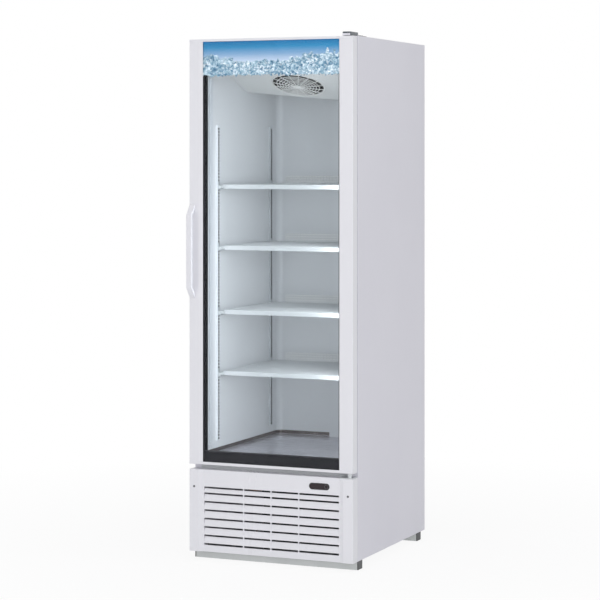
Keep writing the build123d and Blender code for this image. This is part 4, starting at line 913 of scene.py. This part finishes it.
def makeSeal():
    # The profile goes round the seal's section: an inset and a share of its depth for each point
    inner = 0.016
    profile = [
        (0.0, 0.0), (inner, 0.0), (inner, 0.12), (inner - 0.003, 0.20), (inner - 0.0015, 0.36),
        (inner - 0.0035, 0.50), (inner - 0.0018, 0.64), (inner - 0.0018, 0.94), (inner - 0.0024, 1.0),
        (0.0026, 1.0), (0.0020, 0.94), (0.0020, 0.64), (0.0036, 0.50), (0.0016, 0.36), (0.0032, 0.20),
        (0.0, 0.12),
    ]
    low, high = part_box("door_gasket")
    rings = []
    for inset, share in profile:
        x, y = high[0] - inset, low[1] + share * (high[1] - low[1])
        foot, top = low[2] + inset, high[2] - inset
        rings.append([(-x, y, foot), (x, y, foot), (x, y, top), (-x, y, top)])
    build = bmesh.new()
    bridgeRings(build, rings)
    usePiece("folded_door_seal", meshFrom(build, "foldedSeal"), "sealGrey", "door",
             ["door_gasket"], 25)
    print("door seal made")


makeSeal()


# Screw heads with a cross recess

crossFacts = {
    "points": 24, "low": (1.0, 0.94, 0.55), "dome": (0.94, 0.66, 0.45), "domeFoot": 0.549,
    "bars": ((1.05, 0.22), (0.22, 1.05)), "barHeight": 0.9,
}


def makeScrewPattern():
    tree, given, result = newPattern("crossHeadScrews", {
        "Geometry": "Geometry", "Head Radius": 0.0045, "Head Height": 0.002, "Facing": Vector((0, 0, 1)),
        "Seed": 3, "Finish": "Material",
    })
    radius, height = given["Head Radius"], given["Head Height"]
    low, dome = [put(tree, "GeometryNodeMeshCone", {
        "Vertices": crossFacts["points"], "Radius Bottom": multiply(tree, radius, foot),
        "Radius Top": multiply(tree, radius, tip), "Depth": multiply(tree, height, share),
    }).outputs["Mesh"] for foot, tip, share in (crossFacts["low"], crossFacts["dome"])]
    raised = lifted(tree, dome, multiply(tree, height, crossFacts["domeFoot"]))
    bars = []
    for shareX, shareY in crossFacts["bars"]:
        size = vectorOf(tree, multiply(tree, radius, shareX), multiply(tree, radius, shareY),
                        multiply(tree, height, crossFacts["barHeight"]))
        bar = put(tree, "GeometryNodeMeshCube", {"Size": size})
        bars.append(lifted(tree, bar.outputs["Mesh"], height))
    whole = put(tree, "GeometryNodeMeshBoolean", operation="UNION", solver="EXACT")
    feed(tree, whole.inputs["Mesh 2"], [low, raised])
    cut = put(tree, "GeometryNodeMeshBoolean", {"Mesh 1": whole.outputs["Mesh"], "Mesh 2": bars},
              operation="DIFFERENCE", solver="EXACT")
    face = put(tree, "FunctionNodeAlignRotationToVector", {"Vector": given["Facing"]}, axis="Z")
    spots = put(tree, "GeometryNodeInstanceOnPoints", {
        "Points": given["Geometry"], "Instance": cut.outputs["Mesh"], "Rotation": face.outputs["Rotation"],
    })
    # The two sockets by number are the least and the largest value
    chance = put(tree, "FunctionNodeRandomValue", {2: 0.0, 3: pi, "Seed": given["Seed"]}, data_type="FLOAT")
    turned = put(tree, "GeometryNodeRotateInstances", {
        "Instances": spots.outputs["Instances"], "Rotation": turnOf(tree, chance.outputs[1]),
    })
    finishPattern(tree, [turned.outputs["Instances"]], given["Finish"], result["Geometry"])
    return tree


rearScrewFacts = {
    "fromSide": 0.008, "fromFoot": 0.012, "margins": 0.03, "rows": 8, "inward": 0.03,
    "grilleFoot": 0.008, "grilleTop": 0.010, "middles": (-0.1, 0.1),
}
frontScrewFacts = {
    "grilleFromSide": 0.0208, "grilleHeight": 0.285, "hingeX": 0.313, "hingeY": -0.260, "hingeStep": 0.022,
    "hingeCount": 3, "plate": 0.004, "housingX": (-0.24, 0.0, 0.24), "housingFromTop": 0.03,
}


def rearScrewPlaces():
    facts = rearScrewFacts
    low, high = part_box("back_panel")
    grilleLow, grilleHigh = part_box("rear_grille")
    x, y, top = high[0] - facts["fromSide"], high[1], grilleHigh[2] - facts["grilleTop"]
    rise = (high[2] - low[2] - facts["margins"]) / (facts["rows"] - 1)
    rows = [low[2] + facts["fromFoot"] + rise * step for step in range(facts["rows"])]
    places = [(side * x, y, z) for side in (-1, 1) for z in rows]
    places += [(side * (x - facts["inward"]), y, z) for side in (-1, 1)
               for z in (grilleLow[2] + facts["grilleFoot"], top)]
    return places + [(middle, y, top) for middle in facts["middles"]]


def makeScrews():
    facts = frontScrewFacts
    pattern = makeScrewPattern()
    grilleX = cadBox[1][0] - facts["grilleFromSide"]
    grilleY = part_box("grille_side_left")[0][1]
    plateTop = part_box("top_panel")[1][2] + facts["plate"]
    coverLow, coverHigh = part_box("evaporator_cover")
    coverZ = coverHigh[2] - facts["housingFromTop"]
    screwSets = {
        "grille_screw_heads": dict(
            places=[(side * grilleX, grilleY, facts["grilleHeight"]) for side in (-1, 1)],
            facing=(0, -1, 0), radius=0.0045, height=0.0016, finish="darkSteel", hides=["grille_screws"]),
        "hinge_screw_heads": dict(
            places=[(facts["hingeX"], facts["hingeY"] + facts["hingeStep"] * step, plateTop)
                    for step in range(facts["hingeCount"])],
            facing=(0, 0, 1), radius=0.0048, height=0.003, finish="darkSteel", hides=[]),
        "rear_screw_heads": dict(
            places=rearScrewPlaces(),
            facing=(0, 1, 0), radius=0.0042, height=0.0018, finish="zincBright", hides=[]),
        "housing_screw_heads": dict(
            places=[(x, coverLow[1], coverZ) for x in facts["housingX"]],
            facing=(0, -1, 0), radius=0.0042, height=0.0018, finish="zincBright", hides=[]),
    }
    for name, screws in screwSets.items():
        mesh = growPattern(name, pattern, {
            "Head Radius": screws["radius"], "Head Height": screws["height"], "Facing": screws["facing"],
            "Seed": 3, "Finish": finishes[screws["finish"]],
        }, screws["places"])
        usePiece(name, mesh, screws["finish"], "cabinet", screws["hides"], 30)
    print("screw sets made:", len(screwSets))


makeScrews()


# Small trim: display rings, lamp ends, dark sheets of painted shade inside the slotted channels, a light
# plate on the front of the hinge cover

displayFacts = {
    "width": 0.0836, "height": 0.025, "inset": 0.001, "bead": 0.0007, "pillSteps": 12,
    "button": 0.0075, "buttonBead": 0.0008, "buttonPoints": 32, "beadSides": 8,
}
lampEndFacts = {"length": 0.010, "width": 0.009, "grow": 0.0006, "inset": 0.0002, "round": 0.004}
shadeFacts = {
    "near": 0.2808, "far": 0.2814, "middles": (-0.244, 0.265), "reach": 0.0082, "margin": 0.002,
}
lightPlateFacts = {
    "left": 0.0012, "foot": 0.0004, "right": 0.0014, "top": 0.0068, "round": 0.0006,
    "lift": 0.0004, "thick": 0.0006,
}


def useBead(name, points, y, radius, finish):
    # A round bead along a closed loop that faces the front
    rings = []
    inward = Vector((0, 1, 0))
    for index, (x, z) in enumerate(points):
        before, after = points[index - 1], points[(index + 1) % len(points)]
        along = Vector((after[0] - before[0], 0, after[1] - before[1])).normalized()
        outward = along.cross(inward)
        rings.append([Vector((x, y, z)) + outward * u + inward * v
                      for u, v in circlePoints(radius, displayFacts["beadSides"])])
    build = bmesh.new()
    bridgeRings(build, rings)
    usePiece(name, meshFrom(build, name + "Mesh"), finish, "cabinet")


def makeDisplayRings():
    facts = displayFacts
    low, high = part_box("display_lens")
    x, z = (low[0] + high[0]) / 2, (low[2] + high[2]) / 2
    halfWidth, halfHeight = facts["width"] / 2 - facts["inset"], facts["height"] / 2 - facts["inset"]
    pill = roundedOutline((x - halfWidth, z - halfHeight), (x + halfWidth, z + halfHeight), halfHeight,
                          facts["pillSteps"])
    useBead("display_bezel", pill, low[1], facts["bead"], "darkPlastic")
    buttonX = x + facts["width"] / 2 - facts["height"] / 2
    circle = [(buttonX + u, z + v) for u, v in circlePoints(facts["button"], facts["buttonPoints"])]
    useBead("display_button_ring", circle, low[1], facts["buttonBead"], "railCapPlastic")


def makeLampEnds():
    facts = lampEndFacts
    grow = facts["grow"]
    low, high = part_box("led_lamps")
    outline = roundedOutline((high[0] - facts["width"] - grow, low[1] - grow),
                             (high[0] - facts["inset"], high[1] + grow), facts["round"])
    build = bmesh.new()
    for side in (-1, 1):
        for end in (low[2], high[2] - facts["length"]):
            sweepOutline(build, [(side * x, y, end - grow) for x, y in outline],
                         (0, 0, facts["length"] + 2 * grow))
    usePiece("lamp_end_caps", meshFrom(build, "lampEnds"), "linerWhite", "cabinet")


def makeShadeStrips():
    # Dark sheets just behind the slots: painted shade for the inside of the channels
    facts = shadeFacts
    low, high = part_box("pilasters")
    build = bmesh.new()
    for side in (-1, 1):
        for middle in facts["middles"]:
            start, end = middle - facts["reach"], middle + facts["reach"]
            outline = [(side * x, y, low[2] + facts["margin"]) for x, y in (
                (facts["near"], start), (facts["far"], start), (facts["far"], end), (facts["near"], end))]
            sweepOutline(build, outline, (0, 0, high[2] - low[2] - 2 * facts["margin"]))
    usePiece("channel_painted_shade_strips", meshFrom(build, "channelPaintedShade"), "slotPaintedShade", "cabinet")


# A thin light plate on the front of the dark hinge cover
def makeCapLightPlate():
    facts = lightPlateFacts
    low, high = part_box("top_hinge_cap")
    lightPlate = roundedOutline((low[0] + facts["left"], low[2] + facts["foot"]),
                          (high[0] - facts["right"], high[2] - facts["top"]), facts["round"])
    build = bmesh.new()
    sweepOutline(build, [(x, low[1] - facts["lift"], z) for x, z in lightPlate], (0, facts["thick"], 0))
    usePiece("hinge_cap_light_plate", meshFrom(build, "capLightPlate"), "skinEnamel", "cabinet")


makeDisplayRings()
makeLampEnds()
makeShadeStrips()
makeCapLightPlate()
print("small trim made")

softEdges = {
    "door_stile_left": 0.0007, "door_stile_right": 0.0007, "door_rail_top": 0.0006,
    "door_rail_bottom": 0.0006, "grille_side_left": 0.0008, "grille_side_right": 0.0008,
    "front_grille": 0.0005, "door_handle": 0.0008, "top_hinge_cap": 0.0006, "top_panel": 0.0004,
    "rail_end_caps": 0.0012, "front_rail": 0.001, "rear_rail": 0.001, "evaporator_cover": 0.0008,
}
for node, width in softEdges.items():
    softenEdges(node, width)
print("edges softened:", len(softEdges))


# Floor, light and camera

def makeStage():
    floorFacts = dict(size=14.0, colour=(0.93, 0.93, 0.935), darker=(0.91, 0.91, 0.915), driftScale=0.6,
                      fineScale=8.0, drift=0.5, rough=0.8, specular=0.1, whiten=0.90, fadeFrom=0.7,
                      fadeTo=2.6)
    mesh = bpy.data.meshes.new("paleFloor")
    build = bmesh.new()
    bmesh.ops.create_grid(build, x_segments=1, y_segments=1, size=floorFacts["size"])
    build.to_mesh(mesh)
    build.free()
    material, tree, shader = blankFinish("paleFloor", {
        "Roughness": floorFacts["rough"], "Specular IOR Level": floorFacts["specular"],
    })
    feed(tree, shader.inputs["Base Color"], driftOf(tree, floorFacts))
    # The floor turns fully white away from the object, so that it has no edge
    away = put(tree, "ShaderNodeVectorMath", {0: placeOf(tree)}, operation="LENGTH").outputs["Value"]
    whiten = spread(tree, away, floorFacts["fadeFrom"], floorFacts["fadeTo"], floorFacts["whiten"], 1.0)
    white = put(tree, "ShaderNodeEmission")
    mixShaders(tree, multiply(tree, seenDirectly(tree), whiten), shader.outputs["BSDF"],
               white.outputs["Emission"], "Material Output")
    mesh.materials.append(material)
    floor = bpy.data.objects.new("paleFloor", mesh)
    scene.collection.objects.link(floor)


def makeWorld():
    skyFacts = {"light": 0.505, "tint": (0.975, 0.985, 1.0), "seen": 1.0}
    world = bpy.data.worlds.new("studioLight")
    scene.world = world
    world.use_nodes = True
    tree = world.node_tree
    background = tree.nodes["Background"]
    feedAll(tree, background, {"Color": (*skyFacts["tint"], 1), "Strength": skyFacts["light"]})
    white = put(tree, "ShaderNodeBackground", {"Color": (1, 1, 1, 1), "Strength": skyFacts["seen"]})
    mixShaders(tree, seenDirectly(tree), background.outputs["Background"], white.outputs["Background"],
               "World Output")


def makeLamp(name, facts):
    light = bpy.data.lights.new(name, "AREA")
    light.shape = "RECTANGLE"
    light.size, light.size_y = facts["size"]
    light.energy = facts["energy"]
    light.color = facts["tint"]
    lamp = bpy.data.objects.new(name, light)
    lamp.location = facts["place"]
    aim = Vector(facts["aim"]) - Vector(facts["place"])
    lamp.rotation_euler = aim.to_track_quat("-Z", "Y").to_euler()
    lamp.visible_camera = False
    if facts.get("hidden"):
        # Not mirrored in the door's glass
        lamp.visible_glossy = False
        lamp.visible_transmission = False
    scene.collection.objects.link(lamp)


def makeCamera():
    # Fitted to the cabinet's corners in the square photograph; these lengths are in its pixels
    view = {"size": 600, "focal": 2085.0, "horizon": 156.65, "turn": 23.27,
            "place": (3.2594, -7.6662, 1.5662), "sensor": 36.0, "clip": 60.0}
    camera = bpy.data.cameras.new("photoCamera")
    camera.sensor_width = view["sensor"]
    camera.lens = view["focal"] * view["sensor"] / view["size"]
    camera.shift_y = (view["horizon"] - view["size"] / 2) / view["size"]
    camera.clip_end = view["clip"]
    lens = bpy.data.objects.new("photoCamera", camera)
    lens.location = view["place"]
    lens.rotation_euler = (pi / 2, 0, radians(view["turn"]))
    scene.collection.objects.link(lens)
    scene.camera = lens


lamps = {
    "softFront": dict(size=(2.4, 2.4), energy=66.0, tint=(1.0, 0.995, 0.99), place=(-3.6, -6.2, 0.9),
                      aim=(0.0, 0.0, 0.8), hidden=True),
    "softRight": dict(size=(2.6, 2.6), energy=86.0, tint=(0.99, 0.995, 1.0), place=(3.6, -4.8, 2.2),
                      aim=(-0.1, 0.0, 1.1)),
    "softAbove": dict(size=(3.0, 3.0), energy=36.0, tint=(1.0, 1.0, 1.0), place=(0.4, -0.8, 5.2),
                      aim=(0.0, 0.0, 1.0)),
    "cabinetLampRight": dict(size=(0.02, 1.4), energy=3.5, tint=(0.98, 0.99, 1.0),
                             place=(0.272, -0.26, 1.09), aim=(-0.27, -0.20, 1.09), hidden=True),
    "cabinetLampLeft": dict(size=(0.02, 1.3), energy=0.5, tint=(0.98, 0.99, 1.0),
                            place=(-0.27, -0.30, 1.08), aim=(0.27, 0.1, 1.08), hidden=True),
}
makeStage()
makeWorld()
for name, facts in lamps.items():
    makeLamp(name, facts)
makeCamera()
scene.view_settings.view_transform = "Standard"
print("stage, light and camera set")
